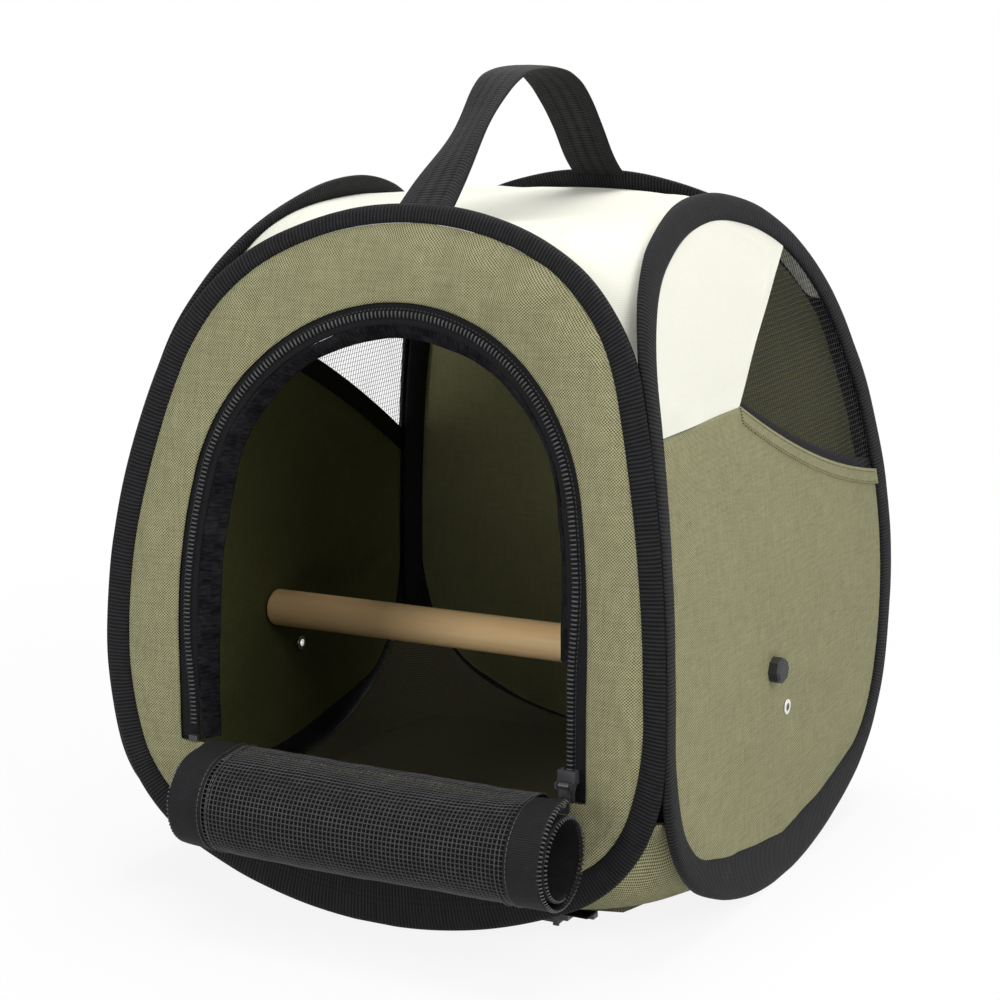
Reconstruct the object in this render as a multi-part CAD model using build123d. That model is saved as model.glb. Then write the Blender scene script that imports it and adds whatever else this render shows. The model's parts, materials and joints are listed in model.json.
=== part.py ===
from build123d import *
import math
import os

# A pop-up travel carrier for a small bird: four fabric walls, each held open by a
# spring hoop, with an arched zip door in front, a perch and a carrying strap.
# +Z is up, the door faces -Y, and the origin is the middle of the plane it stands on.

# ---- hoops and walls ----
hoop_height = 320.0            # top edge of every hoop above the standing plane
hoop_half_width = 143.0        # half the hoop's width at its widest
hoop_widest_z = 112.0          # height of the widest place
# angles where the side arc ends and the crown arc starts, and shoulder radius over half width
hoop_top_arcs = (18.8, 65.5, 0.685)      # above the widest place
hoop_low_arcs = (17.4, 63.6, 0.525)      # and below it
stand_squash = 0.6             # the tape is pressed flat by this much where it stands
wall_set_in = 0.4              # an upright wall stands this far inside its neighbours' hoops
lean_start_z = 110.0           # above this a wall curves inwards
lean_radius = 488.0
corner_gap = 0.3               # between the tapes of neighbouring hoops

tape_width = 12.5              # folded tape that binds each hoop
tape_thickness = 5.0
spring_inset = 6.3             # outer edge of the spring, in from the tape's edge
spring_width = 2.0
spring_thickness = 1.6
fabric_inset = 9.0             # outer edge of the wall fabric, in from the tape's edge
fabric = 1.2                   # thickness of the padded fabric
gap = 0.3                      # clearance between pieces that lie against each other

# ---- side walls ----
patch_low_drop = 91.0          # seam under the pale patch, below the hoops' tops
seam_y = -29.0                 # where patch, window and lower fabric meet
window_seam_drops = (125.0, 152.0)       # of the seam's middle and end, below the hoops' tops
window_seam_middle_y = 45.0
patch_seam_drops = (59.0, 14.0)
patch_seam_middle_y = 20.0
seam_end_in = 33.0             # the patch's seam ends this far inside the hoop's widest place
hem_half_width = 5.5           # tape sewn inside along the window's lower seam
hem_thickness = 0.8

# ---- back pocket ----
pocket_side_margin = 51.0      # from the hoop's widest place to the pocket's side
pocket_top_z = 182.0

# ---- top, base and floor ----
top_middle_drop = 11.0         # upper face of the top fabric in the middle, below the hoops' tops
top_corner_drop = 60.0         # and where it meets two hoops at a corner
sewn_inset = 9.0               # the top and base are sewn this far inside a hoop's line
bend_rounding = 3.0            # of their edges, where they leave a hoop's line
base_steepness = 10
base_middle_z = 9.2            # lower face of the base fabric in the middle
base_corner_z = 66.0           # and where it meets two hoops at a corner
board_margin = 27.0            # from the hoop's widest place to the floor board's edge
board_corner_radius = 80.0
board_thickness = 3.5
board_lift = 0.3               # spare room over the highest base fabric under the board
board_edge_steps = 12          # places tried along a rounded corner for that height
corner_tape_half = 5.5
corner_tape_thickness = 1.0
corner_tape_low_z = 66.0
corner_tape_high_drop = 3.1    # its upper end, below the top fabric
corner_tape_gaps = 1.5         # clearances between a corner tape and the corner it covers

# ---- door opening and its zip ----
arch_side_margin = 39.5        # from the hoop's widest place to the opening's side
arch_top_margin = 42.0
arch_spring_z = 130.0          # straight sides below, arch above
arch_arcs = (10.8, 43.2, 0.918)          # as for the hoops
sill_z = 72.0
zip_tape_hidden = 6.0          # part of the zip tape behind the wall fabric
zip_tape_thickness = 0.8
coil_inset = 5.0               # outer edge of the coil, in from the arch
coil_width = 4.5
coil_thickness = 2.2
lip_thickness = 1.5
lip_depth = 9.0
stop_length = 3.0
zip_end_rise = 0.5             # the zip ends this far above the sill

# ---- zip sliders ----
slider_length = 12.0
slider_plate = 1.8
slider_rail = 1.6
slider_clearance = 0.35
slider_tail = 0.7              # width of the tail as a share of the head's
pull_length = 12.5
pull_width = 5.0
pull_thickness = 1.4
pull_pin_radius = 0.7
pull_pin_clearance = 0.05
pull_slot = (0.45, 0.4, 0.6)   # width, length and drop of the pull's slot, as shares
ear_thickness = 1.0
door_slider_rise = 3.4         # of the slider's middle, above the roll

# ---- rolled door ----
roll_centre_z = 55.0
roll_radius = 22.6             # outer face of the first half turn
roll_tighten = 1.8             # each half turn is tighter by this much
roll_half_turns = 4
roll_left_in = 23.5            # the roll's left end is this far inside the arch
roll_right_out = 1.5           # and its right end this far outside
door_edge_band = 17.0          # plain tape at each end of the roll
door_sheet = 1.0
flap_side_margin = 19.5
flap_gaps = 1.5                # clearances between the flap's end and the roll

# ---- perch ----
perch_radius = 9.3
perch_left = (0.0, 98.0)       # y and z where the perch meets the left wall
perch_right = (-19.0, 106.0)   # and the right wall
knob_radius = 6.2
knob_length = 5.5
knob_facets = 8
stud_radius = 2.5
stud_reach = 16.0              # depth of the stud in the perch
stud_clearance = 0.05
wall_hole_radius = 3.0
perch_chamfer = 1.0
perch_end_gaps = 2.5           # clearances at each end, as the wall is not square to the perch

# ---- eyelets ----
eyelet_right = (0.0, 83.0)     # y and z
eyelet_left = (24.0, 73.0)
eyelet_hole_radius = 1.9
eyelet_barrel_radius = 2.5
eyelet_flange_radius = 3.7
eyelet_flange = 0.7

# ---- carrying strap ----
strap_width = 28.0
strap_thickness = 2.2
strap_foot_in = 7.1            # of the sewn foot, from the wall beside it
strap_tab_length = 15.0        # the loop swings between the two sewn tabs
strap_shoulder = (0.454, 27.0) # share of the way from foot to apex, and above the hoops' tops
strap_apex = (13.0, 53.0)      # from the middle, and above the hoops' tops
strap_bend_radius = 22.0

# ---- zip under the base ----
base_zip_margin = 39.0         # from the hoop's widest place to the zip
base_zip_left_x = -88.0
base_zip_right_x = 92.0
base_slit_half = 3.5
base_tape_half = 9.0
base_slider_x = 74.0

# ---- places that follow from the sizes above ----
wall_reach = hoop_half_width - wall_set_in
patch_low_z = hoop_height - patch_low_drop
window_seam = [(window_seam_middle_y, hoop_height - window_seam_drops[0]),
               (hoop_half_width + tape_width, hoop_height - window_seam_drops[1])]
patch_seam = [(patch_seam_middle_y, hoop_height - patch_seam_drops[0]),
              (hoop_half_width - seam_end_in, hoop_height - patch_seam_drops[1])]
pocket_half_width = hoop_half_width - pocket_side_margin
top_middle_z = hoop_height - top_middle_drop
top_corner_z = hoop_height - top_corner_drop
board_half = hoop_half_width - board_margin
arch_half_width = hoop_half_width - arch_side_margin
arch_top_z = hoop_height - arch_top_margin
door_slider_z = roll_centre_z + roll_radius + door_slider_rise
roll_left_x = roll_left_in - arch_half_width
roll_right_x = arch_half_width + roll_right_out
flap_half_width = arch_half_width - flap_side_margin
base_zip_y = base_zip_margin - hoop_half_width
reach_far = 2 * (hoop_height + hoop_half_width)    # longer than anything here, for cutting
reach_small = 1e-6


def wall_face(z, depth=0.0):
    """Distance from the middle to the face that lies a depth behind a wall's outer face."""
    rise = max(z - lean_start_z, 0.0)
    return wall_reach - lean_radius + math.sqrt((lean_radius - depth) ** 2 - rise ** 2)


wall_low, wall_high = -tape_thickness, hoop_height + tape_thickness


def wall_curve(depth, low=wall_low, high=wall_high, scale=1.0, inset=0.0):
    """Upright line and arc of a wall's section in the plane x = 0, front at -Y."""
    def point(z):
        return (0, inset - scale * wall_face(z, depth), z)

    bend = point(lean_start_z)
    arc = ThreePointArc(bend, point((lean_start_z + high) / 2), point(high))
    return [Line(point(low), bend), arc]


def closed_section(outer, inner):
    """Face between two curves that run the same way."""
    ends = [Line(outer[-1] @ 1, inner[-1] @ 1), Line(inner[0] @ 0, outer[0] @ 0)]
    return make_face(outer + inner + ends)


def bent_slab(outer, inner):
    """Slab across the front between two depths behind the wall's outer face."""
    section = closed_section(wall_curve(outer), wall_curve(inner))
    return extrude(section, amount=reach_far, both=True)


def oval_arcs(half, rise, arcs, inset):
    """Side, shoulder and crown arcs from (half, 0) to (0, rise), all drawn in by inset.

    Each is given by its centre, its radius and the angles where it starts and ends. The side
    and crown radii are the two that let the arcs meet at those angles for any half and rise.
    """
    first, second = math.radians(arcs[0]), math.radians(arcs[1])
    shoulder = arcs[2] * half
    across = half - shoulder * (math.cos(first) - math.cos(second))
    up = rise - shoulder * (math.sin(second) - math.sin(first))
    side_fall, crown_fall = 1 - math.cos(first), 1 - math.sin(second)
    share = side_fall * crown_fall - math.cos(second) * math.sin(first)
    side = (across * crown_fall - up * math.cos(second)) / share
    crown = (up * side_fall - across * math.sin(first)) / share
    side_centre, crown_centre = Vector(half - side, 0), Vector(0, rise - crown)
    centre = side_centre + Vector(math.cos(first), math.sin(first)) * (side - shoulder)
    return [(side_centre, side - inset, 0, first), (centre, shoulder - inset, first, second),
            (crown_centre, crown - inset, second, math.pi / 2)]


def oval_quarter(half, rise, arcs, inset):
    """The same arcs, each given by its start, middle and end."""
    return [[(c.X + r * math.cos(t), c.Y + r * math.sin(t)) for t in (low, (low + high) / 2, high)]
            for c, r, low, high in oval_arcs(half, rise, arcs, inset)]


def hoop_edge(across, inset, up):
    """Height of a hoop's upper or lower line at a distance across it."""
    rise = hoop_height - hoop_widest_z if up else hoop_widest_z + stand_squash
    arcs = hoop_top_arcs if up else hoop_low_arcs
    for centre, radius, low, high in oval_arcs(hoop_half_width, rise, arcs, inset):
        if centre.X + radius * math.cos(high) <= across + reach_small <= centre.X + radius * math.cos(low):
            level = centre.Y + math.sqrt(radius ** 2 - (across - centre.X) ** 2)
            return hoop_widest_z + (level if up else -level)
    return hoop_widest_z


def outline_prism(inset):
    """The hoop's outline, drawn in by inset and run from front to back."""
    top = oval_quarter(hoop_half_width, hoop_height - hoop_widest_z, hoop_top_arcs, inset)
    low = oval_quarter(hoop_half_width, hoop_widest_z + stand_squash, hoop_low_arcs, inset)
    arcs = []
    for quarter, up in ((top, 1), (low, -1)):
        for across in (1, -1):
            for stretch in quarter:
                points = [(across * x, 0, hoop_widest_z + up * z) for x, z in stretch]
                arcs.append(ThreePointArc(*points))
    return extrude(make_face(arcs), amount=reach_far, both=True)


def arch_prism(inset):
    """The door's arch, drawn in by inset and run from front to back."""
    half = arch_half_width - inset
    quarter = oval_quarter(arch_half_width, arch_top_z - arch_spring_z, arch_arcs, inset)
    edges = [Line((-half, 0, sill_z), (half, 0, sill_z))]
    for across in (1, -1):
        edges.append(Line((across * half, 0, sill_z), (across * half, 0, arch_spring_z)))
        for stretch in quarter:
            edges.append(ThreePointArc(*[(across * x, 0, arch_spring_z + z) for x, z in stretch]))
    return extrude(make_face(edges), amount=reach_far, both=True)


def mitre_wedge():
    """Space in front of both diagonals, less half the gap between neighbours."""
    back_off = corner_gap / math.sqrt(2)
    tip = (0, -back_off)
    corners = [tip, (reach_far, -reach_far - back_off), (-reach_far, -reach_far - back_off)]
    wedge = make_face(Polyline(*corners, close=True))
    return extrude(wedge, amount=reach_far)


def place(shape, side):
    """Turn a shape made at the front to another side."""
    return Rot(0, 0, {"front": 0, "right": 90, "back": 180, "left": -90}[side]) * shape


sides = ["front", "right", "back", "left"]
fabric_outer = (tape_thickness - fabric) / 2
fabric_inner = fabric_outer + fabric
zip_tape_outer = fabric_inner + gap
zip_tape_inner = zip_tape_outer + zip_tape_thickness
coil_front = zip_tape_outer - gap - coil_thickness


# ---- walls and hoops ----

def make_binding():
    """Folded tape round a hoop, with the channel for the spring and the fabric."""
    ring = outline_prism(0) - outline_prism(tape_width)
    tape = bent_slab(0, tape_thickness) & ring & mitre_wedge()
    room = (tape_thickness - spring_thickness) / 2 - gap
    channel_ring = outline_prism(spring_inset - gap) - outline_prism(2 * tape_width)
    return tape - (bent_slab(room, tape_thickness - room) & channel_ring)


def make_spring():
    """Flat spring wire inside the tape."""
    start = (tape_thickness - spring_thickness) / 2
    ring = outline_prism(spring_inset) - outline_prism(spring_inset + spring_width)
    return bent_slab(start, start + spring_thickness) & ring


def wall_fabric():
    """A whole wall of fabric, as the back has it."""
    return bent_slab(fabric_outer, fabric_inner) & outline_prism(fabric_inset)


def make_front_panel():
    """Front wall with the arched door opening."""
    return wall_fabric() - arch_prism(0)


def seam_arc(seam, rise=0.0):
    """Arc from the place where three fabrics meet, along a seam, in the plane x = 0."""
    return ThreePointArc(*[(0, y, z + rise) for y, z in [(seam_y, patch_low_z)] + seam])


def window_area():
    """Space above the window's seam and behind the patch's seam, for the right wall."""
    low, high = seam_arc(window_seam), seam_arc(patch_seam)
    rear = Polyline(low @ 1, (0, reach_far, window_seam[-1][1]), (0, reach_far, reach_far), high @ 1)
    return extrude(make_face([low, rear, high]), amount=reach_far, dir=(1, 0, 0))


def patch_area():
    """Space of the pale patch, for the right wall."""
    high = seam_arc(patch_seam)
    front = Polyline(high @ 1, high @ 1 + Vector(0, 0, reach_far), (0, -reach_far, 2 * reach_far),
                     (0, -reach_far, patch_low_z), (0, seam_y, patch_low_z))
    return extrude(make_face([high, front]), amount=reach_far, dir=(1, 0, 0))


def across_wall(shape, y, z, radius):
    """Cut a round hole through a right wall's shape."""
    return shape - Pos(0, y, z) * Rot(0, 90, 0) * Cylinder(radius, 2 * reach_far)


def make_hem():
    """Tape sewn inside along the window's lower seam, for the right wall."""
    high, low = seam_arc(window_seam, hem_half_width), seam_arc(window_seam, -hem_half_width)
    band = extrude(closed_section([high], [low]), amount=reach_far, dir=(1, 0, 0))
    start = fabric_inner + gap
    slab = place(bent_slab(start, start + hem_thickness), "right")
    return slab & band & place(outline_prism(tape_width + gap), "right")


def make_side_wall(side):
    """Lower fabric, pale patch and mesh window of one side wall."""
    wall = place(wall_fabric(), "right")
    window, patch = wall & window_area(), wall & patch_area()
    lower = wall - window_area() - patch_area()
    hem = make_hem()
    hole, eyelet = perch_right, eyelet_right
    if side == "left":
        hole, eyelet = perch_left, eyelet_left
    lower = across_wall(lower, hole[0], hole[1], wall_hole_radius)
    lower = across_wall(lower, eyelet[0], eyelet[1], eyelet_barrel_radius + gap)
    pieces = {"lower_panel": lower, "pale_patch": patch, "mesh_window": window, "window_hem": hem}
    if side == "left":
        pieces = {name: mirror(piece, Plane.YZ) for name, piece in pieces.items()}
    return {f"{side}_{name}": piece for name, piece in pieces.items()}


def make_corner_tape():
    """Flat tape that covers a corner seam inside, made at the front."""
    inset = corner_tape_half + corner_tape_gaps * gap
    reach = math.sqrt(2) * wall_face(top_corner_z, tape_thickness) - inset
    ends = [((r - across) / math.sqrt(2), (r + across) / math.sqrt(2))
            for r in (reach - corner_tape_thickness, reach)
            for across in (-corner_tape_half, 0, corner_tape_half)]
    high = min(top_height(x, y) for x, y in ends) - fabric - corner_tape_high_drop
    curves = [wall_curve(tape_thickness, corner_tape_low_z, high, math.sqrt(2), extra)
              for extra in (inset, inset + corner_tape_thickness)]
    return Rot(0, 0, 45) * extrude(closed_section(*curves), amount=corner_tape_half, both=True)


def make_back_pocket():
    """Patch pocket that lies flat on the back wall while it is empty."""
    inner = fabric_outer - gap
    area = Pos(0, 0, pocket_top_z / 2) * Box(2 * pocket_half_width, 2 * reach_far, pocket_top_z)
    return place(bent_slab(inner - fabric, inner) & outline_prism(tape_width + gap) & area, "back")


# ---- top, base and floor board ----

def eased(share):
    return share * share * (3 - 2 * share)


def rounded_max(value, least):
    """The larger of two heights, with the bend between them rounded."""
    return least + bend_rounding * math.log(1 + math.exp((value - least) / bend_rounding))


def top_height(x, y):
    """Saddle of the top fabric, from its middle out to the four hoops it is sewn to."""
    corner = wall_face(top_corner_z)
    a, b = eased(min(abs(x) / corner, 1)), eased(min(abs(y) / corner, 1))
    edge_x, edge_y = [rounded_max(hoop_edge(abs(v), sewn_inset, True), top_corner_z) for v in (x, y)]
    middle_edge = hoop_edge(0, sewn_inset, True)
    middle_x, middle_y = [top_middle_z + (middle_edge - top_middle_z) * v for v in (a, b)]
    along = (1 - a) * middle_y + a * edge_y + (1 - b) * middle_x + b * edge_x
    both = (1 - a) * (1 - b) * top_middle_z + (a + b - 2 * a * b) * middle_edge + a * b * top_corner_z
    return along - both


def base_height(x, y):
    """Base fabric: flat, with its edges drawn up steeply to the hoops near the corners."""
    corner = hoop_half_width - tape_thickness
    full = base_corner_z - base_middle_z
    low = [rounded_max(hoop_edge(abs(v), sewn_inset, False), base_middle_z) for v in (x, y)]
    edges = [-rounded_max(-edge, -base_corner_z) for edge in low]
    at_x, at_y = [(edge - base_middle_z) * min(abs(v) / corner, 1) ** base_steepness
                  for edge, v in zip(edges, (y, x))]
    return base_middle_z + at_x + at_y - at_x * at_y / full


def stretched_sheet(height, half, thickness, steps):
    """Sheet over a square, whose height is a function of x and y."""
    marks = [-half + 2 * half * i / steps for i in range(steps + 1)]
    surface = Face.make_surface_from_array_of_points(
        [[Vector(x, y, height(x, y)) for y in marks] for x in marks])
    return extrude(surface, amount=thickness, dir=(0, 0, 1))


def between_walls(sheet, depth):
    """The part of a sheet between all four walls, behind their outer faces by depth."""
    front = wall_curve(depth)
    back = [mirror(edge, Plane.XZ) for edge in front]
    section = closed_section(front, back)
    tunnel = extrude(section, amount=reach_far, both=True)
    return (sheet & tunnel) & Rot(0, 0, 90) * tunnel


def make_top_panel():
    sheet = stretched_sheet(lambda x, y: top_height(x, y) - fabric, wall_face(top_corner_z), fabric, 16)
    return between_walls(sheet, tape_thickness + gap)


def make_base_panel():
    sheet = stretched_sheet(base_height, wall_reach, fabric, 26)
    panel = between_walls(sheet, tape_thickness + gap)
    middle_x = (base_zip_left_x + base_zip_right_x) / 2
    length = base_zip_right_x - base_zip_left_x
    return panel - Pos(middle_x, base_zip_y, 0) * Box(length, 2 * base_slit_half, reach_far)


def make_floor_board():
    plate = RectangleRounded(2 * board_half, 2 * board_half, board_corner_radius)
    middle = board_half - board_corner_radius
    turns = [math.radians(90 * i / board_edge_steps) for i in range(board_edge_steps + 1)]
    highest = max(base_height(middle + board_corner_radius * math.cos(t),
                              middle + board_corner_radius * math.sin(t)) for t in turns)
    bottom = highest + fabric + board_lift + gap
    return Pos(0, 0, bottom) * extrude(plate, amount=board_thickness)


# ---- door zip ----

def arch_ring(outer_inset, inner_inset, outer_depth, inner_depth):
    """Band that follows the arch, between two insets and two depths."""
    slab = bent_slab(outer_depth, inner_depth)
    ring = arch_prism(outer_inset) - arch_prism(inner_inset)
    above_sill = Box(2 * reach_far, 2 * reach_far, reach_far, align=(Align.CENTER, Align.CENTER, Align.MIN))
    return slab & ring & Pos(0, 0, sill_z + zip_end_rise) * above_sill


def make_zip_tape():
    return arch_ring(-zip_tape_hidden, coil_inset + coil_width, zip_tape_outer, zip_tape_inner)


def make_coil():
    ring = arch_ring(coil_inset, coil_inset + coil_width, coil_front, coil_front + coil_thickness)
    stops = sill_z + stop_length / 2 + gap
    return ring - Pos(0, 0, stops) * Box(2 * reach_far, 2 * reach_far, stop_length + 2 * gap)


def make_zip_stops():
    """Metal stops at the two lower ends of the coil."""
    ring = arch_ring(coil_inset, coil_inset + coil_width, coil_front, coil_front + coil_thickness)
    return ring & Pos(0, 0, sill_z + stop_length / 2) * Box(2 * reach_far, 2 * reach_far, stop_length)


def make_lip():
    """Soft bound edge inside the opening; on the right it ends above the slider's travel."""
    inset = coil_inset + coil_width + gap
    lip = arch_ring(inset, inset + lip_thickness, zip_tape_outer, zip_tape_outer + lip_depth)
    beside = Box(reach_far, reach_far, arch_spring_z, align=(Align.MIN, Align.CENTER, Align.MIN))
    return lip - beside


def make_slider():
    """Slider that hugs a coil from its front. The coil runs along Z, the front is -Y."""
    half = coil_width / 2 + slider_clearance + slider_rail
    tail = half * slider_tail
    front = -coil_thickness / 2 - slider_clearance
    long_half = slider_length / 2
    outline = Polyline((-half, long_half), (half, long_half), (half, 0), (tail, -long_half),
                       (-tail, -long_half), (-half, 0), close=True)
    plate = extrude(Plane.XZ * make_face(outline), amount=slider_plate)
    plate = Pos(0, front, 0) * plate
    rail_depth = coil_thickness + slider_clearance
    rail_x = half - slider_rail / 2
    rail = Box(slider_rail, rail_depth, long_half, align=(Align.CENTER, Align.MIN, Align.MIN))
    body = plate + Pos(rail_x, front, 0) * rail + Pos(-rail_x, front, 0) * rail
    axis_y = pull_axis_y()
    ear_x = pull_width / 2 + 2 * gap + ear_thickness / 2
    ear_height = front - slider_plate - axis_y + 2 * pull_pin_radius
    for side in (-1, 1):
        ear = Box(ear_thickness, ear_height, 4 * pull_pin_radius)
        body += Pos(side * ear_x, front - slider_plate - ear_height / 2, 0) * ear
    pin = Rot(0, 90, 0) * Cylinder(pull_pin_radius, 2 * ear_x)
    return body + Pos(0, axis_y, 0) * pin


def pull_axis_y():
    """Pin's place in front of the slider's plate, in the slider's own frame."""
    plate_front = -coil_thickness / 2 - slider_clearance - slider_plate
    return plate_front - gap - pull_pin_radius - pull_pin_clearance - pull_thickness / 2


def make_pull():
    """Pull tab that hangs from the slider's pin."""
    bore = pull_pin_radius + pull_pin_clearance
    knuckle = Rot(0, 90, 0) * Cylinder(bore + pull_thickness / 2, pull_width)
    blade = Box(pull_width, pull_thickness, pull_length, align=(Align.CENTER, Align.CENTER, Align.MAX))
    tab = knuckle + fillet(blade.edges().filter_by(Axis.Y), pull_width / 5)
    slot_width, slot_length, slot_drop = pull_slot
    slot = Box(pull_width * slot_width, 4 * pull_thickness, pull_length * slot_length)
    tab = tab - Pos(0, 0, -pull_length * slot_drop) * slot
    return Pos(0, pull_axis_y(), 0) * (tab - Rot(0, 90, 0) * Cylinder(bore, 2 * pull_width))


coil_middle_x = arch_half_width - coil_inset - coil_width / 2
coil_middle_y = coil_front + coil_thickness / 2 - wall_reach
door_slider_place = Pos(coil_middle_x, coil_middle_y, door_slider_z)


# ---- rolled door ----

roll_centre_y = -(wall_reach + roll_radius + gap)
hinge_y = -(wall_face(sill_z, fabric_outer) + door_sheet / 2 + gap)


def roll_curve(inward):
    """Half circles of the rolled sheet, from the top of the roll over its front."""
    arcs, top = [], roll_centre_z + roll_radius
    for turn in range(roll_half_turns):
        radius = roll_radius - roll_tighten * turn
        front = -1 if turn % 2 == 0 else 1
        end = top - 2 * radius if turn % 2 == 0 else top + 2 * radius
        centre_z = (top + end) / 2
        reach_out = radius - inward
        points = [(0, roll_centre_y, centre_z + reach_out),
                  (0, roll_centre_y + front * reach_out, centre_z),
                  (0, roll_centre_y, centre_z - reach_out)]
        arcs.append(ThreePointArc(*(points if turn % 2 == 0 else points[::-1])))
        top = end
    return arcs


def rolled_sheet(left, right):
    """The sheet wound up, between two ends along X."""
    section = closed_section(roll_curve(0), roll_curve(door_sheet))
    return Pos(left, 0, 0) * extrude(section, amount=right - left, dir=(1, 0, 0))


def make_door_flap():
    """Sheet from the sewn sill to the top of the roll."""
    start = Vector(0, hinge_y, sill_z)
    end = Vector(0, roll_centre_y + flap_gaps * gap, roll_centre_z + roll_radius)
    along = (end - start).normalized()
    lower = Vector(0, along.Z, -along.Y) * (door_sheet / 2)
    if lower.Z > 0:
        lower = lower * -1
    end = end + lower
    corners = [start + lower, end + lower, end - lower, start - lower]
    section = make_face(Polyline(*corners, close=True))
    return Pos(-flap_half_width, 0, 0) * extrude(section, amount=2 * flap_half_width, dir=(1, 0, 0))


def make_door():
    mesh_left, mesh_right = roll_left_x + door_edge_band, roll_right_x - door_edge_band
    return {
        "door_mesh": rolled_sheet(mesh_left, mesh_right),
        "door_flap": make_door_flap(),
        "door_band_left": rolled_sheet(roll_left_x, mesh_left - gap),
        "door_band_right": rolled_sheet(mesh_right + gap, roll_right_x),
    }


# ---- perch ----

def perch_end(side):
    """Middle of the perch's end face at a side wall, on the fabric's inner face."""
    y, z = perch_right if side > 0 else perch_left
    return Vector(side * wall_face(z, fabric_inner), y, z)


perch_axis = (perch_end(1) - perch_end(-1)).normalized()
perch_seat = perch_end_gaps * gap


def along_perch(start, radius, length):
    """Cylinder on the perch's axis, from a start point."""
    plane = Plane(origin=start, z_dir=perch_axis)
    return plane.location * Cylinder(radius, length, align=(Align.CENTER, Align.CENTER, Align.MIN))


def make_perch():
    start = perch_end(-1) + perch_axis * perch_seat
    length = (perch_end(1) - perch_end(-1)).length - 2 * perch_seat
    rod = along_perch(start, perch_radius, length)
    rod = chamfer(rod.edges(), perch_chamfer)
    bore = stud_radius + stud_clearance
    end = start + perch_axis * length
    depth = stud_reach + perch_chamfer
    rod -= along_perch(start, bore, depth)
    return rod - along_perch(end - perch_axis * depth, bore, depth)


def make_knob(side):
    """Faceted knob outside a wall, with the stud that screws into the perch."""
    outward = perch_axis * side
    face = perch_end(side) + outward * (fabric + perch_seat)
    plane = Plane(origin=face, z_dir=outward)
    grip = extrude(RegularPolygon(knob_radius, knob_facets), amount=knob_length)
    grip = chamfer(grip.edges().group_by(Axis.Z)[-1], perch_chamfer)
    stud_length = fabric + 2 * perch_seat + stud_reach
    stud = Cylinder(stud_radius, stud_length, align=(Align.CENTER, Align.CENTER, Align.MAX))
    return plane.location * (grip + stud)


def make_eyelet(side, centre):
    """Rolled metal eyelet through a side wall."""
    middle = wall_face(centre[1], (fabric_outer + fabric_inner) / 2)
    half = fabric / 2 + gap + eyelet_flange
    body = Cylinder(eyelet_barrel_radius, 2 * half)
    flange = Cylinder(eyelet_flange_radius, eyelet_flange)
    flange = fillet(flange.edges(), eyelet_flange * 0.4)
    flange_z = half - eyelet_flange / 2
    body = body + Pos(0, 0, flange_z) * flange + Pos(0, 0, -flange_z) * flange
    body -= Cylinder(eyelet_hole_radius, 4 * half)
    return Pos(side * middle, *centre) * Rot(0, 90, 0) * body


# ---- carrying strap ----

def make_strap():
    """Webbing from foot to foot, cut into two sewn tabs and the loop that swings."""
    foot_y = wall_face(hoop_height) - strap_foot_in
    foot = (foot_y, top_height(0, foot_y) + strap_thickness / 2)
    apex = (strap_apex[0], hoop_height + strap_apex[1])
    shoulder = (foot_y - strap_shoulder[0] * (foot_y - apex[0]), hoop_height + strap_shoulder[1])
    front_half = [(-y, z) for y, z in (foot, shoulder, apex)]
    centre = FilletPolyline(*front_half, apex, shoulder, foot, radius=strap_bend_radius)
    band = Plane.YZ * trace(centre, strap_thickness)
    webbing = extrude(band, amount=strap_width / 2, both=True)
    split = foot_y - strap_tab_length
    loop = webbing & Box(reach_far, 2 * split, 2 * reach_far)
    outer = webbing - Box(reach_far, 2 * (split + gap), 2 * reach_far)
    front, back = outer.solids().sort_by(Axis.Y)
    return {"strap_loop": loop, "strap_tab_front": front, "strap_tab_back": back}


# ---- zip under the base ----

def base_bar(x_low, x_high, half, z_low, z_high):
    return Pos((x_low + x_high) / 2, base_zip_y, (z_low + z_high) / 2) * Box(
        x_high - x_low, 2 * half, z_high - z_low)


def make_base_zip():
    tape_top = base_middle_z - gap
    tape_low = tape_top - zip_tape_thickness
    coil_top = tape_low - gap
    coil_low = coil_top - coil_thickness
    left, right = base_zip_left_x, base_zip_right_x
    inside = stop_length + gap
    coil = base_bar(left + inside, right - inside, coil_width / 2, coil_low, coil_top)
    stops = base_bar(left, left + stop_length, coil_width / 2, coil_low, coil_top)
    stops += base_bar(right - stop_length, right, coil_width / 2, coil_low, coil_top)
    coil_middle = (base_slider_x, base_zip_y, coil_low + coil_thickness / 2)
    turn = Plane(origin=coil_middle, x_dir=(0, 1, 0), z_dir=(1, 0, 0)).location
    return {
        "base_zip_tape": base_bar(left, right, base_tape_half, tape_low, tape_top),
        "base_zip_coil": coil,
        "base_zip_stops": stops,
        "base_zip_slider": turn * make_slider(),
        "base_zip_pull": turn * make_pull(),
    }


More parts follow.
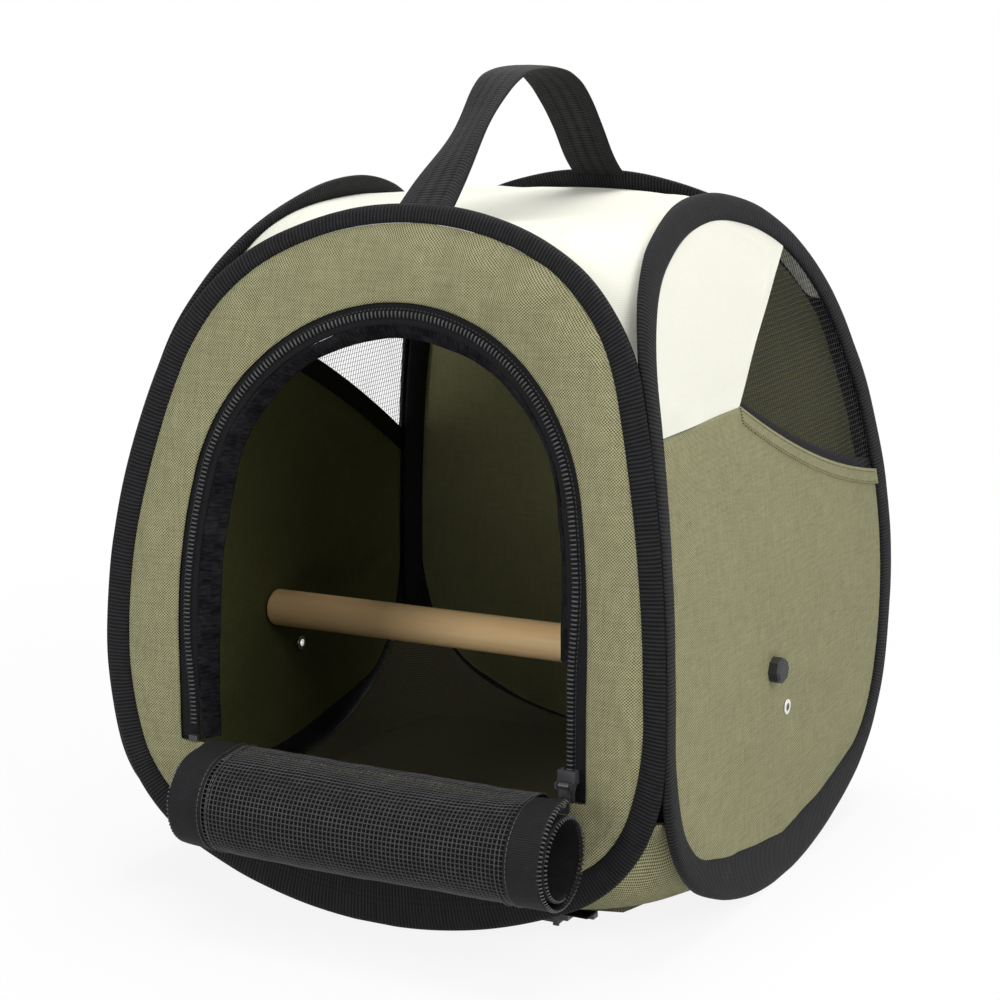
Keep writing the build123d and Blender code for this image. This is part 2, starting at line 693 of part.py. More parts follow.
def make_all():
    nodes = {"front_panel": make_front_panel(), "back_panel": place(wall_fabric(), "back")}
    binding, spring, corner = make_binding(), make_spring(), make_corner_tape()
    above_ground = Pos(0, 0, reach_far) * Box(2 * reach_far, 2 * reach_far, 2 * reach_far)
    binding = binding & above_ground
    for side in sides:
        nodes[f"{side}_binding"] = place(binding, side)
        nodes[f"{side}_spring"] = place(spring, side)
    for side, name in zip(sides, ("front_right", "back_right", "back_left", "front_left")):
        nodes[f"corner_tape_{name}"] = place(corner, side)
    nodes.update(make_side_wall("right"))
    nodes.update(make_side_wall("left"))
    nodes["back_pocket"] = make_back_pocket()
    nodes["top_panel"] = make_top_panel()
    nodes["base_panel"] = make_base_panel()
    nodes["floor_board"] = make_floor_board()
    nodes["door_zip_tape"] = make_zip_tape()
    nodes["door_zip_coil"] = make_coil()
    nodes["door_zip_stops"] = make_zip_stops()
    nodes["door_opening_lip"] = make_lip()
    nodes["door_zip_slider"] = door_slider_place * make_slider()
    nodes["door_zip_pull"] = door_slider_place * make_pull()
    nodes.update(make_door())
    nodes["perch"] = make_perch()
    nodes["perch_knob_right"] = make_knob(1)
    nodes["perch_knob_left"] = make_knob(-1)
    nodes["eyelet_right"] = make_eyelet(1, eyelet_right)
    nodes["eyelet_left"] = make_eyelet(-1, eyelet_left)
    nodes.update(make_strap())
    nodes.update(make_base_zip())
    return nodes


os.makedirs("parts", exist_ok=True)
for name, shape in make_all().items():
    export_step(shape, f"parts/{name}.step")
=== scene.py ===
# %% [markdown]
# ## A travel carrier for a small bird
# Four fabric walls stand on spring hoops that are bound in ribbed tape. The front wall
# has an arched zip door, rolled down here, and a perch runs from side to side. The
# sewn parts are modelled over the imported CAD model, which is loaded first and never moved.

# %% Load the frame
import json
import math
import bpy
import numpy as np
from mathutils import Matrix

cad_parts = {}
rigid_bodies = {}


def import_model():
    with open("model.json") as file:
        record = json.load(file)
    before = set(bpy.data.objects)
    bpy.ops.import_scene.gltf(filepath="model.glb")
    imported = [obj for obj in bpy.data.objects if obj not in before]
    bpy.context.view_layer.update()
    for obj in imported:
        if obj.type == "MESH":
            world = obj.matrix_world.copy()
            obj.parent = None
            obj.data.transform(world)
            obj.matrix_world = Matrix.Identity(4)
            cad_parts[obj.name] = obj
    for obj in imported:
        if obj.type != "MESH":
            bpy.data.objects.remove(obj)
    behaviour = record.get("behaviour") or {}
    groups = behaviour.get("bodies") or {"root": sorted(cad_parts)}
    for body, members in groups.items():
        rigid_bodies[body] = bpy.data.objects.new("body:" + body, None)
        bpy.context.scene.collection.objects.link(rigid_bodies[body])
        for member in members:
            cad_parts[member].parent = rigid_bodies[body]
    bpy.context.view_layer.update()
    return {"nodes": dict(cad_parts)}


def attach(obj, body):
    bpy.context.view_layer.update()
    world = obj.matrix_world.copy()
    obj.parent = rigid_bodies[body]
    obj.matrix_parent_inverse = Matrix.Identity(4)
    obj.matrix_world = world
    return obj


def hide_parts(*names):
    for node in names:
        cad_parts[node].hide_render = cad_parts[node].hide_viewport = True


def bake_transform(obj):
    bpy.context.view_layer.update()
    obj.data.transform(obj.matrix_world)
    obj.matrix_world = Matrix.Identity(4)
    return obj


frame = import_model()
nodes = frame["nodes"]
MM = 0.001

# %% [markdown]
# ## Camera, light and floor
# A long lens from a little above, turned 27 degrees to the right of the door, keeps
# the hoops' ovals nearly true. A short lens would swell the near corner. The lens and
# the place were fitted together, because either alone can give the same width.

# %% Camera
def look_from(azimuth, elevation, distance, target, lens, shift):
    """Place the camera on a sphere round a target."""
    a, e = math.radians(azimuth), math.radians(elevation)
    offset = np.array([math.sin(a) * math.cos(e), -math.cos(a) * math.cos(e), math.sin(e)])
    place = np.array(target) + distance * offset
    bpy.ops.object.camera_add(location=place, rotation=(math.pi / 2 - e, 0, a))
    camera = bpy.context.object
    camera.name = "camera"
    camera.data.lens, camera.data.sensor_width, camera.data.sensor_fit = lens, 36, "HORIZONTAL"
    camera.data.shift_x, camera.data.shift_y = shift
    camera.data.clip_start, camera.data.clip_end = 0.05, 100
    bpy.context.scene.camera = camera
    return camera


camera = look_from(azimuth=26.9, elevation=12.8, distance=1.282, target=(0, 0, 0.160),
                   lens=95.18, shift=(-0.0177, 0.0159))
print("camera at", [round(v, 3) for v in camera.location])


# %% [markdown]
# ## One way to write a material
# A material is a small graph of nodes. Built by hand it needs a line for every node and
# link, and the sum that it works out is lost among them. Here a value wraps a socket, so
# that arithmetic on it adds the Math nodes, and one method adds any other node.


# %% Shader helper
class Socket:
    """A shader value. Arithmetic on it adds Math nodes."""

    def __init__(self, shader, output):
        self.shader, self.output = shader, output

    def math(self, operation, *others):
        values = {i: v for i, v in enumerate((self,) + others)}
        return self.shader.node("ShaderNodeMath", {"operation": operation}, values)[0]

    def __add__(self, other): return self.math("ADD", other)
    def __radd__(self, other): return self.math("ADD", other)
    def __sub__(self, other): return self.math("SUBTRACT", other)
    def __mul__(self, other): return self.math("MULTIPLY", other)
    def __rmul__(self, other): return self.math("MULTIPLY", other)
    def __truediv__(self, other): return self.math("DIVIDE", other)
    def __pow__(self, other): return self.math("POWER", other)
    def __rsub__(self, other):
        return self.shader.node("ShaderNodeMath", {"operation": "SUBTRACT"}, {0: other, 1: self})[0]

    def wave(self, pitch):
        """A ridge from 0 to 1 and back once in every pitch."""
        return (self * (math.pi / pitch)).math("SINE").math("ABSOLUTE")

    def between(self, low, high):
        """0 below low, 1 above high, and smooth between."""
        settings = {"interpolation_type": "SMOOTHSTEP"}
        return self.shader.node("ShaderNodeMapRange", settings, {0: self, 1: low, 2: high})[0]


class Shader:
    """A new material with its main shader, and one way to add any node to it."""

    def __init__(self, name, **values):
        self.material = bpy.data.materials.new(name)
        self.material.use_nodes = True
        self.tree = self.material.node_tree
        self.main = self.tree.nodes["Principled BSDF"]
        for key, value in values.items():
            self.set(key.replace("_", " ").title().replace("Ior", "IOR"), value)

    def feed(self, socket, value):
        if isinstance(value, Socket):
            self.tree.links.new(value.output, socket)
        elif isinstance(value, tuple) and len(value) == 3 and socket.type == "RGBA":
            socket.default_value = value + (1.0,)
        else:
            socket.default_value = value

    def node(self, kind, settings=None, values=None):
        made = self.tree.nodes.new(kind)
        for key, value in (settings or {}).items():
            setattr(made, key, value)
        for key, value in (values or {}).items():
            self.feed(made.inputs[key], value)
        return [Socket(self, output) for output in made.outputs]

    def set(self, name, value):
        self.feed(self.main.inputs[name], value)

    def place(self, source="UV"):
        """Coordinates in metres: UV on sewn pieces, Object on hard ones."""
        outputs = self.node("ShaderNodeTexCoord")
        return outputs[2] if source == "UV" else outputs[3]

    def axes(self, place):
        return self.node("ShaderNodeSeparateXYZ", None, {0: place})

    def noise(self, place, size, detail=2.0, stretch=None):
        """Soft noise whose features are about this size, in metres."""
        if stretch:
            place = self.node("ShaderNodeMapping", None, {"Vector": place, "Scale": stretch})[0]
        values = {"Vector": place, "Scale": 1 / size, "Detail": detail}
        return self.node("ShaderNodeTexNoise", None, values)[0]

    def mix(self, factor, a, b):
        """A colour between two."""
        return self.node("ShaderNodeMix", {"data_type": "RGBA"}, {0: factor, 6: a, 7: b})[2]

    def bump(self, height, depth, strength=1.0):
        values = {"Strength": strength, "Distance": depth, "Height": height}
        self.set("Normal", self.node("ShaderNodeBump", None, values)[0])
        return self.material


# %% [markdown]
# ## Light and floor
# Three large soft lamps and a pale world light the fabrics without hard shadows. More
# light would bleach the pale cloth, so the white of the background comes from the world
# and the floor, which are white to the camera and in reflections and plain to the rest.


# %% Light
def soft_lamp(name, place, target, size, power):
    bpy.ops.object.light_add(type="AREA", location=place)
    lamp = bpy.context.object
    lamp.name = name
    lamp.data.size, lamp.data.energy = size, power
    aim = np.array(target) - np.array(place)
    flat = math.hypot(aim[0], aim[1])
    lamp.rotation_euler = (math.atan2(flat, -aim[2]), 0, math.atan2(aim[1], aim[0]) - math.pi / 2)
    return lamp


soft_lamp("lamp_right", (1.5, -0.7, 1.2), (0, 0, 0.15), 1.0, 16)
soft_lamp("lamp_front", (-0.7, -1.8, 0.75), (0, 0, 0.13), 0.8, 10.5)
soft_lamp("lamp_top", (0.1, 0.3, 1.7), (0, 0, 0.2), 1.2, 20)
print("lamps ready")

world = bpy.data.worlds.new("pale_room")
bpy.context.scene.world = world
world.use_nodes = True
tree = world.node_tree
tree.nodes.clear()
path = tree.nodes.new("ShaderNodeLightPath")
room, seen = tree.nodes.new("ShaderNodeBackground"), tree.nodes.new("ShaderNodeBackground")
for background, colour, strength in ((room, (0.95, 0.97, 1, 1), 0.36), (seen, (1, 1, 1, 1), 1.0)):
    background.inputs["Color"].default_value = colour
    background.inputs["Strength"].default_value = strength
mixer, end = tree.nodes.new("ShaderNodeMixShader"), tree.nodes.new("ShaderNodeOutputWorld")
either, any_ray = tree.nodes.new("ShaderNodeMath"), tree.nodes.new("ShaderNodeMath")
either.operation = any_ray.operation = "MAXIMUM"
wires = [(path.outputs["Is Camera Ray"], either.inputs[0]),
         (path.outputs["Is Glossy Ray"], either.inputs[1]),
         (either.outputs[0], any_ray.inputs[0]),
         (path.outputs["Is Transmission Ray"], any_ray.inputs[1]),
         (any_ray.outputs[0], mixer.inputs[0]),
         (room.outputs[0], mixer.inputs[1]),
         (seen.outputs[0], mixer.inputs[2]),
         (mixer.outputs[0], end.inputs[0])]
for output, socket in wires:
    tree.links.new(output, socket)
bpy.context.scene.view_settings.view_transform = "Standard"

# %% Floor
bpy.ops.mesh.primitive_plane_add(size=60, location=(0, 0, 0))
floor = bpy.context.object
floor.name = "floor"
paint = Shader("pale_floor", roughness=0.9)
paint.set("Base Color", (0.86, 0.86, 0.86, 1))
rays = paint.node("ShaderNodeLightPath")
glow = paint.node("ShaderNodeEmission", None, {"Color": (1, 1, 1, 1), "Strength": 1.0})[0]
base = Socket(paint, paint.main.outputs[0])
x, y, _ = paint.axes(paint.place("Object"))
SHADOW_ENDS, WHITE_FROM = 0.22, 0.8
far = (x * x + y * y).math("SQRT").between(SHADOW_ENDS, WHITE_FROM)
CAMERA, GLOSSY, TRANSMISSION = 0, 3, 6
seen_by = (rays[CAMERA] + rays[GLOSSY] + rays[TRANSMISSION]).math("MINIMUM", 1.0)
whiteness = seen_by * (far * 0.12 + 0.88)
blend = paint.node("ShaderNodeMixShader", None, {0: whiteness, 1: base, 2: glow})[0]
paint.tree.links.new(blend.output, paint.tree.nodes["Material Output"].inputs[0])
floor.data.materials.append(paint.material)
print("stage ready")

# %% [markdown]
# ## Fabrics
# Every sewn piece carries a UV map in metres, so that one weave keeps its real pitch
# on all of them. Threads are drawn with sine ridges: a plain weave crosses two of them,
# ribbed tape has one, and soft noise makes some threads thicker or paler than others.


# %% Woven cloth
def woven(name, colour, shadow, pitch=1.35 * MM, depth=0.16 * MM, patch=0.05, rough=0.85):
    """Plain woven polyester with slubby threads."""
    cloth = Shader(name, roughness=rough)
    cloth.set("Specular IOR Level", 0.15)
    place = cloth.place()
    drift = cloth.noise(place, 9 * MM, 2.0)
    u, v, _ = cloth.axes(place)
    u, v = u + drift * 0.8 * MM, v + drift * 0.7 * MM
    over = (u * (2 * math.pi / pitch)).math("SINE") * (v * (2 * math.pi / pitch)).math("SINE")
    slub = (cloth.noise(place, 1.6 * MM, 2.0, (1, 0.12, 1))
            + cloth.noise(place, 1.6 * MM, 2.0, (0.12, 1, 1)))
    height = over * 0.5 + 0.5 + (slub - 1.0) * 0.22
    cloud = cloth.noise(place, 45 * MM, 3.0)
    tone = (height.between(0.15, 0.85) + (cloud - 0.5) * patch * 3).between(0.0, 1.0)
    cloth.set("Base Color", cloth.mix(tone, shadow, colour))
    return cloth.bump(height, depth, 0.7)


olive = woven("olive_canvas", (0.415, 0.400, 0.235), (0.085, 0.080, 0.035))
cream = woven("cream_canvas", (0.84, 0.83, 0.735), (0.73, 0.72, 0.625), 0.9 * MM, 0.05 * MM, 0.04)
board_cloth = woven("board_cover_cloth", (0.150, 0.140, 0.090), (0.060, 0.055, 0.034), 0.9 * MM)
# The insides of the front and side walls are a darker copy of the olive: painted shade, for the
# little light that gets into the carrier.
olive_painted_shade_inside = woven("olive_coated_back", (0.125, 0.127, 0.050), (0.040, 0.041, 0.014))
# The back wall's inside is a paler copy of the olive than the other insides: painted light, where
# the door and the nets let light fall on it.
olive_back_painted_light = woven("olive_back_inside", (0.300, 0.293, 0.150), (0.120, 0.117, 0.055))
print("cloths ready")


# %% [markdown]
# ## Tapes, webbing and edging
# The tapes are ribbed across, the strap is herringbone webbing and the door's edging is
# brushed. Real ribs could be modelled, but there are thousands of them under 2 mm wide,
# so they are a shader's ridges, and only the tapes' sections are real geometry.


# %% Tapes
def ribbed(name, pitch, pale, dark, depth, rough=0.6):
    """Tape with ribs across its length, which runs along U."""
    tape = Shader(name, roughness=rough)
    tape.set("Specular IOR Level", 0.10)
    place = tape.place()
    u, v, _ = tape.axes(place)
    drift = tape.noise(place, 14 * MM, 2.0) * 1.4 * MM
    ridge = (u + drift).wave(pitch)
    threads = v.wave(0.55 * MM) * 0.25
    worn = tape.noise(place, 5 * MM, 3.0)
    tone = (ridge * ridge * 0.8 + threads + (worn - 0.5) * 0.7).between(0.15, 1.15)
    tape.set("Base Color", tape.mix(tone, dark, pale))
    return tape.bump(ridge + threads, depth, 0.8)


grosgrain = ribbed("ribbed_binding", 1.75 * MM, (0.024, 0.024, 0.026), (0.004, 0.004, 0.0045),
                   0.40 * MM)
zip_cloth = ribbed("zip_tape_weave", 0.8 * MM, (0.012, 0.012, 0.013), (0.004, 0.004, 0.005),
                   0.12 * MM)
band_cloth = ribbed("door_band_weave", 0.9 * MM, (0.022, 0.022, 0.023), (0.010, 0.010, 0.011),
                    0.10 * MM, 0.7)
hem_cloth = ribbed("hem_tape", 1.2 * MM, (0.013, 0.013, 0.014), (0.004, 0.004, 0.004), 0.15 * MM)


def herringbone(name):
    """Webbing: diagonal ribs that change side every few millimetres."""
    web = Shader(name, roughness=0.6)
    web.set("Specular IOR Level", 0.12)
    u, v, _ = web.axes(web.place())
    lean = (v / (7 * MM)).math("PINGPONG", 1.0) * 3.2 * MM
    ridge = (u + lean).wave(1.7 * MM) * 0.7 + v.wave(1.25 * MM) * 0.5
    tone = (ridge + (web.noise(web.place(), 4 * MM, 3.0) - 0.5) * 0.6).between(0.3, 1.2)
    web.set("Base Color", web.mix(tone, (0.004, 0.004, 0.005), (0.026, 0.026, 0.027)))
    return web.bump(ridge, 0.35 * MM, 0.8)


webbing = herringbone("strap_webbing")


def fleece(name):
    """Soft brushed edging inside the door."""
    soft = Shader(name, roughness=0.95)
    soft.set("Specular IOR Level", 0.05)
    place = soft.place()
    fuzz = soft.noise(place, 1.3 * MM, 5.0, (1, 0.4, 1))
    cloud = soft.noise(place, 11 * MM, 3.0)
    tone = (fuzz * 0.8 + cloud * 0.7).between(0.55, 1.05)
    soft.set("Base Color", soft.mix(tone, (0.004, 0.004, 0.005), (0.022, 0.022, 0.024)))
    return soft.bump(fuzz, 0.5 * MM, 0.8)


edging = fleece("brushed_edging")
print("tapes ready")


# %% [markdown]
# ## Hard finishes
# Nylon coil, moulded knobs, nickel eyelets, spring steel and a pine perch. An even
# colour looks like plain plastic on all of them, so noise varies the colour and the
# roughness a little, and stretched noise gives the wood a grain that runs along it.


# %% Plastics, metal and wood
def moulded(name, colour, rough, grain=0.6 * MM, depth=0.03 * MM):
    """Moulded or drawn plastic, a little paler and duller where it is worn."""
    part = Shader(name)
    place = part.place("Object")
    speck = part.noise(place, grain, 3.0)
    wear = part.noise(place, 7 * MM, 3.0)
    worn = tuple(min(c * 1.7 + 0.004, 1) for c in colour)
    part.set("Base Color", part.mix(wear.between(0.35, 0.75), colour, worn))
    part.set("Roughness", speck * 0.12 + (rough + wear.between(0.3, 0.7) * 0.1 - 0.06))
    return part.bump(speck, depth, 0.5)


coil_nylon = moulded("zip_coil_nylon", (0.040, 0.040, 0.042), 0.34)
knob_plastic = moulded("knob_plastic", (0.008, 0.008, 0.009), 0.48)
mesh_coating = moulded("mesh_coating", (0.026, 0.026, 0.027), 0.42)
net_thread = moulded("net_thread", (0.014, 0.014, 0.016), 0.45)
stitch_black = moulded("stitch_black", (0.010, 0.010, 0.011), 0.6)
stitch_olive = moulded("stitch_olive", (0.10, 0.095, 0.05), 0.7)
stitch_pale = moulded("stitch_pale", (0.30, 0.28, 0.17), 0.7)


def metal(name, colour, rough):
    """Plated metal with fine scratches."""
    part = Shader(name, metallic=1.0)
    place = part.place("Object")
    fine, wear = part.noise(place, 0.3 * MM, 4.0), part.noise(place, 4 * MM, 3.0)
    darker = tuple(c * 0.82 for c in colour)
    part.set("Base Color", part.mix(wear.between(0.3, 0.7), colour, darker))
    part.set("Roughness", fine * 0.15 + (rough - 0.05) + wear * 0.06)
    return part.bump(fine, 0.01 * MM, 0.4)


nickel = metal("eyelet_nickel", (0.86, 0.84, 0.79), 0.25)
spring_steel = metal("spring_steel", (0.55, 0.55, 0.56), 0.35)
slider_enamel = moulded("slider_enamel", (0.030, 0.030, 0.032), 0.30, 0.4 * MM, 0.01 * MM)


def wooden(name, turn):
    """Pale turned wood, its grain along the perch."""
    wood = Shader(name, roughness=0.55)
    wood.set("Specular IOR Level", 0.35)
    values = {"Vector": wood.place("Object"), "Rotation": turn}
    place = wood.node("ShaderNodeMapping", None, values)[0]
    grain = wood.noise(place, 5 * MM, 4.0, (0.05, 1, 1))
    fine = wood.noise(place, 1.1 * MM, 4.0, (0.03, 1, 1))
    rings = wood.noise(place, 16 * MM, 2.0, (0.02, 1, 1))
    tone = (grain * 0.5 + fine * 0.25 + rings * 0.45).between(0.42, 0.75)
    knotty = wood.mix(tone, (1.00, 0.72, 0.38, 1), (0.94, 0.60, 0.28, 1))
    wood.set("Base Color", knotty)
    return wood.bump(fine, 0.05 * MM, 0.4)


PERCH_SPAN, PERCH_RISE, PERCH_SLANT = 279.0, 6.0, -20.0
perch_tilt = math.atan2(PERCH_RISE, PERCH_SPAN)
perch_turn = math.atan2(PERCH_SLANT, PERCH_SPAN)
pine = wooden("perch_wood", (0.0, perch_tilt, -perch_turn))
print("hard finishes ready")

# %% [markdown]
# ## The lines that everything follows
# A hoop is drawn from tangent arcs: a long side arc, a tight shoulder and a flatter
# crown. The walls stand upright and lean inwards above the middle. Two functions give
# these lines at any inset and depth, and all sewn pieces are laid along them.


# %% Hoop, arch and wall lines
def quarter(half, rise, first, second, share):
    """Centres, radii and angles of the three arcs from (half, 0) to (0, rise)."""
    first, second, shoulder = math.radians(first), math.radians(second), share * half
    across = half - shoulder * (math.cos(first) - math.cos(second))
    up = rise - shoulder * (math.sin(second) - math.sin(first))
    fall, drop = 1 - math.cos(first), 1 - math.sin(second)
    whole = fall * drop - math.cos(second) * math.sin(first)
    side = (across * drop - up * math.cos(second)) / whole
    crown = (up * fall - across * math.sin(first)) / whole
    a, c = np.array([half - side, 0.0]), np.array([0.0, rise - crown])
    b = a + (side - shoulder) * np.array([math.cos(first), math.sin(first)])
    return [(a, side, 0.0, first), (b, shoulder, first, second), (c, crown, second, math.pi / 2)]


def trace(arcs, steps=300):
    """Dense points and outward normals along a quarter."""
    points, normals = [], []
    for centre, radius, low, high in arcs:
        t = np.linspace(low, high, steps)
        n = np.stack([np.cos(t), np.sin(t)], 1)
        points.append(centre + radius * n)
        normals.append(n)
    return np.concatenate(points), np.concatenate(normals)


class Line:
    """A flat line with its outward normals, read by the distance along it."""

    def __init__(self, points, normals):
        step = np.hypot(*np.diff(points, axis=0).T)
        keep = np.concatenate([[True], step > 1e-9])
        self.points, self.normals = points[keep], normals[keep]
        step = np.hypot(*np.diff(self.points, axis=0).T)
        self.run = np.concatenate([[0.0], np.cumsum(step)])
        self.length = self.run[-1]

    def at(self, distance, inset=0.0):
        p = np.stack([np.interp(distance, self.run, self.points[:, i]) for i in (0, 1)], -1)
        n = np.stack([np.interp(distance, self.run, self.normals[:, i]) for i in (0, 1)], -1)
        n = n / np.linalg.norm(n, axis=-1, keepdims=True)
        return p - n * np.asarray(inset)[..., None]


HOOP_HALF, WIDEST_AT = 143 * MM, 112 * MM
DOOR_HALF, SILL, DOOR_SPRINGS_AT = 103.5 * MM, 72 * MM, 130 * MM


def hoop_line():
    top = trace(quarter(HOOP_HALF, rise=208 * MM, first=18.8, second=65.5, share=0.685))
    low = trace(quarter(HOOP_HALF, rise=112.6 * MM, first=17.4, second=63.6, share=0.525))
    flip = np.array([1, -1])
    right = [np.concatenate([l[::-1] * flip, t]) for l, t in zip(low, top)]
    left = [v[::-1] * np.array([-1, 1]) for v in right]
    points = np.concatenate([right[0], left[0]]) + np.array([0, WIDEST_AT])
    return Line(points, np.concatenate([right[1], left[1]]))


def arch_line():
    bend, normal = trace(quarter(DOOR_HALF, rise=148 * MM, first=10.8, second=43.2, share=0.918))
    rise = np.linspace(72, 130, 60)[:, None] * MM
    side = np.concatenate([np.full_like(rise, DOOR_HALF), rise], 1)
    right = np.concatenate([side, bend + np.array([0, DOOR_SPRINGS_AT])])
    outward = np.concatenate([np.tile([1.0, 0.0], (60, 1)), normal])
    mirror = np.array([-1, 1])
    return Line(np.concatenate([right, right[::-1] * mirror]),
                np.concatenate([outward, outward[::-1] * mirror]))


hoop, arch = hoop_line(), arch_line()


WALL_REACH, LEAN_RADIUS, LEANS_FROM = 142.6, 488, 110


def wall_face(z, depth=0.0):
    """Distance from the middle to a wall, this deep behind its outer face."""
    rise = np.maximum(z - LEANS_FROM * MM, 0)
    return (WALL_REACH - LEAN_RADIUS) * MM + np.sqrt((LEAN_RADIUS * MM - depth) ** 2 - rise ** 2)


def turned(points, side):
    """Points of the front wall, carried to another side."""
    x, y, z = np.moveaxis(points, -1, 0)
    return {"front": np.stack([x, y, z], -1), "right": np.stack([-y, x, z], -1),
            "back": np.stack([-x, -y, z], -1), "left": np.stack([y, -x, z], -1)}[side]


def on_wall(x, z, depth):
    """Points of the front wall, this deep behind its outer face."""
    return np.stack([x, -wall_face(z, depth) + 0 * x, z + 0 * x], -1)


def on_side(y, z, depth, side):
    """The same for a side wall's Y and Z, not yet turned to that side."""
    return on_wall(y if side == "right" else -y, z, depth)


print("hoop", round(hoop.length, 4), "m, arch", round(arch.length, 4), "m")


# %% [markdown]
# ## Laying a piece along a surface
# Each sewn piece starts as Blender's own grid primitive, which has a UV map. Its rows
# and columns are then moved onto the surface, and the map is stretched to metres, so
# a weave follows the cloth as it does on a cut and sewn panel.


# %% Grids laid on surfaces
OUTWARD = {"front": (0, -1, 0), "right": (1, 0, 0), "back": (0, 1, 0), "left": (-1, 0, 0)}


def only(piece):
    """Select one piece and nothing else."""
    bpy.ops.object.select_all(action="DESELECT")
    piece.select_set(True)
    bpy.context.view_layer.objects.active = piece
    return piece


def laid(name, columns, rows, place, size=(1, 1), closed=False):
    """A grid whose point (u, v), each from 0 to 1, goes to place(u, v). Size is in metres."""
    bpy.ops.object.select_all(action="DESELECT")
    bpy.ops.mesh.primitive_grid_add(x_subdivisions=columns, y_subdivisions=rows, size=2)
    piece = bpy.context.object
    piece.name = piece.data.name = name
    mesh = piece.data
    flat = np.empty(len(mesh.vertices) * 3)
    mesh.vertices.foreach_get("co", flat)
    u, v = (flat.reshape(-1, 3)[:, 0] + 1) / 2, (flat.reshape(-1, 3)[:, 1] + 1) / 2
    mesh.vertices.foreach_set("co", np.ascontiguousarray(place(u, v), dtype=float).ravel())
    uv = np.empty(len(mesh.loops) * 2)
    mesh.uv_layers[0].data.foreach_get("uv", uv)
    mesh.uv_layers[0].data.foreach_set("uv", (uv.reshape(-1, 2) * np.array(size)).ravel())
    mesh.update()
    if closed:
        weld(piece)
    return piece


def weld(piece, reach=1e-5):
    """Merge doubled points and turn the faces outwards."""
    only(piece)
    bpy.ops.object.mode_set(mode="EDIT")
    bpy.ops.mesh.select_all(action="SELECT")
    bpy.ops.mesh.remove_doubles(threshold=reach)
    bpy.ops.mesh.normals_make_consistent(inside=False)
    bpy.ops.object.mode_set(mode="OBJECT")
    return piece


def modify(piece, kind, **settings):
    """Add a modifier and apply it."""
    only(piece)
    modifier = piece.modifiers.new(kind.lower(), kind)
    for key, value in settings.items():
        setattr(modifier, key, value)
    bpy.ops.object.modifier_apply(modifier=modifier.name)
    return piece


def thickened(piece, thick):
    """Give a strip or a panel its thickness, half to each side."""
    return modify(piece, "SOLIDIFY", thickness=thick, offset=0)


def netted(piece, thick):
    """Turn the edges of a grid into threads."""
    return modify(piece, "WIREFRAME", thickness=thick, use_boundary=True, use_replace=True,
                  use_even_offset=False)


def dressed(piece, *finishes):
    """Swap a piece's materials for these."""
    piece.data.materials.clear()
    for finish in finishes:
        piece.data.materials.append(finish)
    return piece


def lined(piece, outward, finish, inside, thick=1.0 * MM):
    """Give a panel its thickness, with one finish outside and another within."""
    only(dressed(piece, finish, inside))
    facing = sum(p.normal.dot(outward) * p.area for p in piece.data.polygons)
    if facing < 0:
        bpy.ops.object.mode_set(mode="EDIT")
        bpy.ops.mesh.select_all(action="SELECT")
        bpy.ops.mesh.flip_normals()
        bpy.ops.object.mode_set(mode="OBJECT")
    return modify(piece, "SOLIDIFY", thickness=thick, offset=-1, material_offset=1)


def sewn(piece, finish, body="shell", stands_for=(), smooth=True):
    """Give a piece its finish, its body and the CAD nodes that it stands for."""
    only(piece)
    if smooth:
        bpy.ops.object.shade_smooth()
    if finish:
        dressed(piece, finish)
    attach(piece, body)
    if stands_for:
        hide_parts(*stands_for)
    return piece


def soft_noise(points, size, seed=0.0):
    """Smooth repeatable waviness between about -1 and 1, from crossed sines."""
    x, y, z = np.moveaxis(points / size, -1, 0)
    total = np.sin(2.1 * x + 1.3 * y + seed) * np.cos(1.7 * z + 0.9 * x + 2 * seed)
    finer = np.sin(3.9 * z - 2.3 * x + 1.7 * y + 3 * seed)
    total = total + 0.6 * finer * np.cos(3.1 * x + 0.7 * z - seed)
    return total / 1.6


# %% [markdown]
# ## Cloth that settles
# Cloth held at its edges isn't quite flat: it is cut a little too large, and it sinks
# and bulges between the seams. Sculpting such folds by hand looks like sculpting, so
# Blender's cloth simulation makes them. It runs on a coarse copy, which is quick, and
# the fine cloth then takes the copy's movement, cut down to what sewn cloth does.


# %% Settling
def cubic(a, b, c, d, f):
    """A smooth curve through four even values, at a fraction between the middle two."""
    return b + 0.5 * f * (c - a + f * (2 * a - 5 * b + 4 * c - d + f * (3 * (b - c) + d - a)))


def smooth_reader(grid, u, v):
    """Values of a grid of vectors at fractions of its width and height."""
    rows, columns = grid.shape[0] - 1, grid.shape[1] - 1
    i = np.clip(np.floor(v * rows).astype(int), 0, rows - 1)
    f = (v * rows - i)[:, None, None]
    across = cubic(*(grid[np.clip(i + k, 0, rows)] for k in (-1, 0, 1, 2)), f)
    i = np.clip(np.floor(u * columns).astype(int), 0, columns - 1)
    f = (u * columns - i)[:, None]
    point = np.arange(len(u))
    return cubic(*(across[point, np.clip(i + k, 0, columns)] for k in (-1, 0, 1, 2)), f)


SETTLING_FRAMES = 20
INWARD_LOST = 0.85


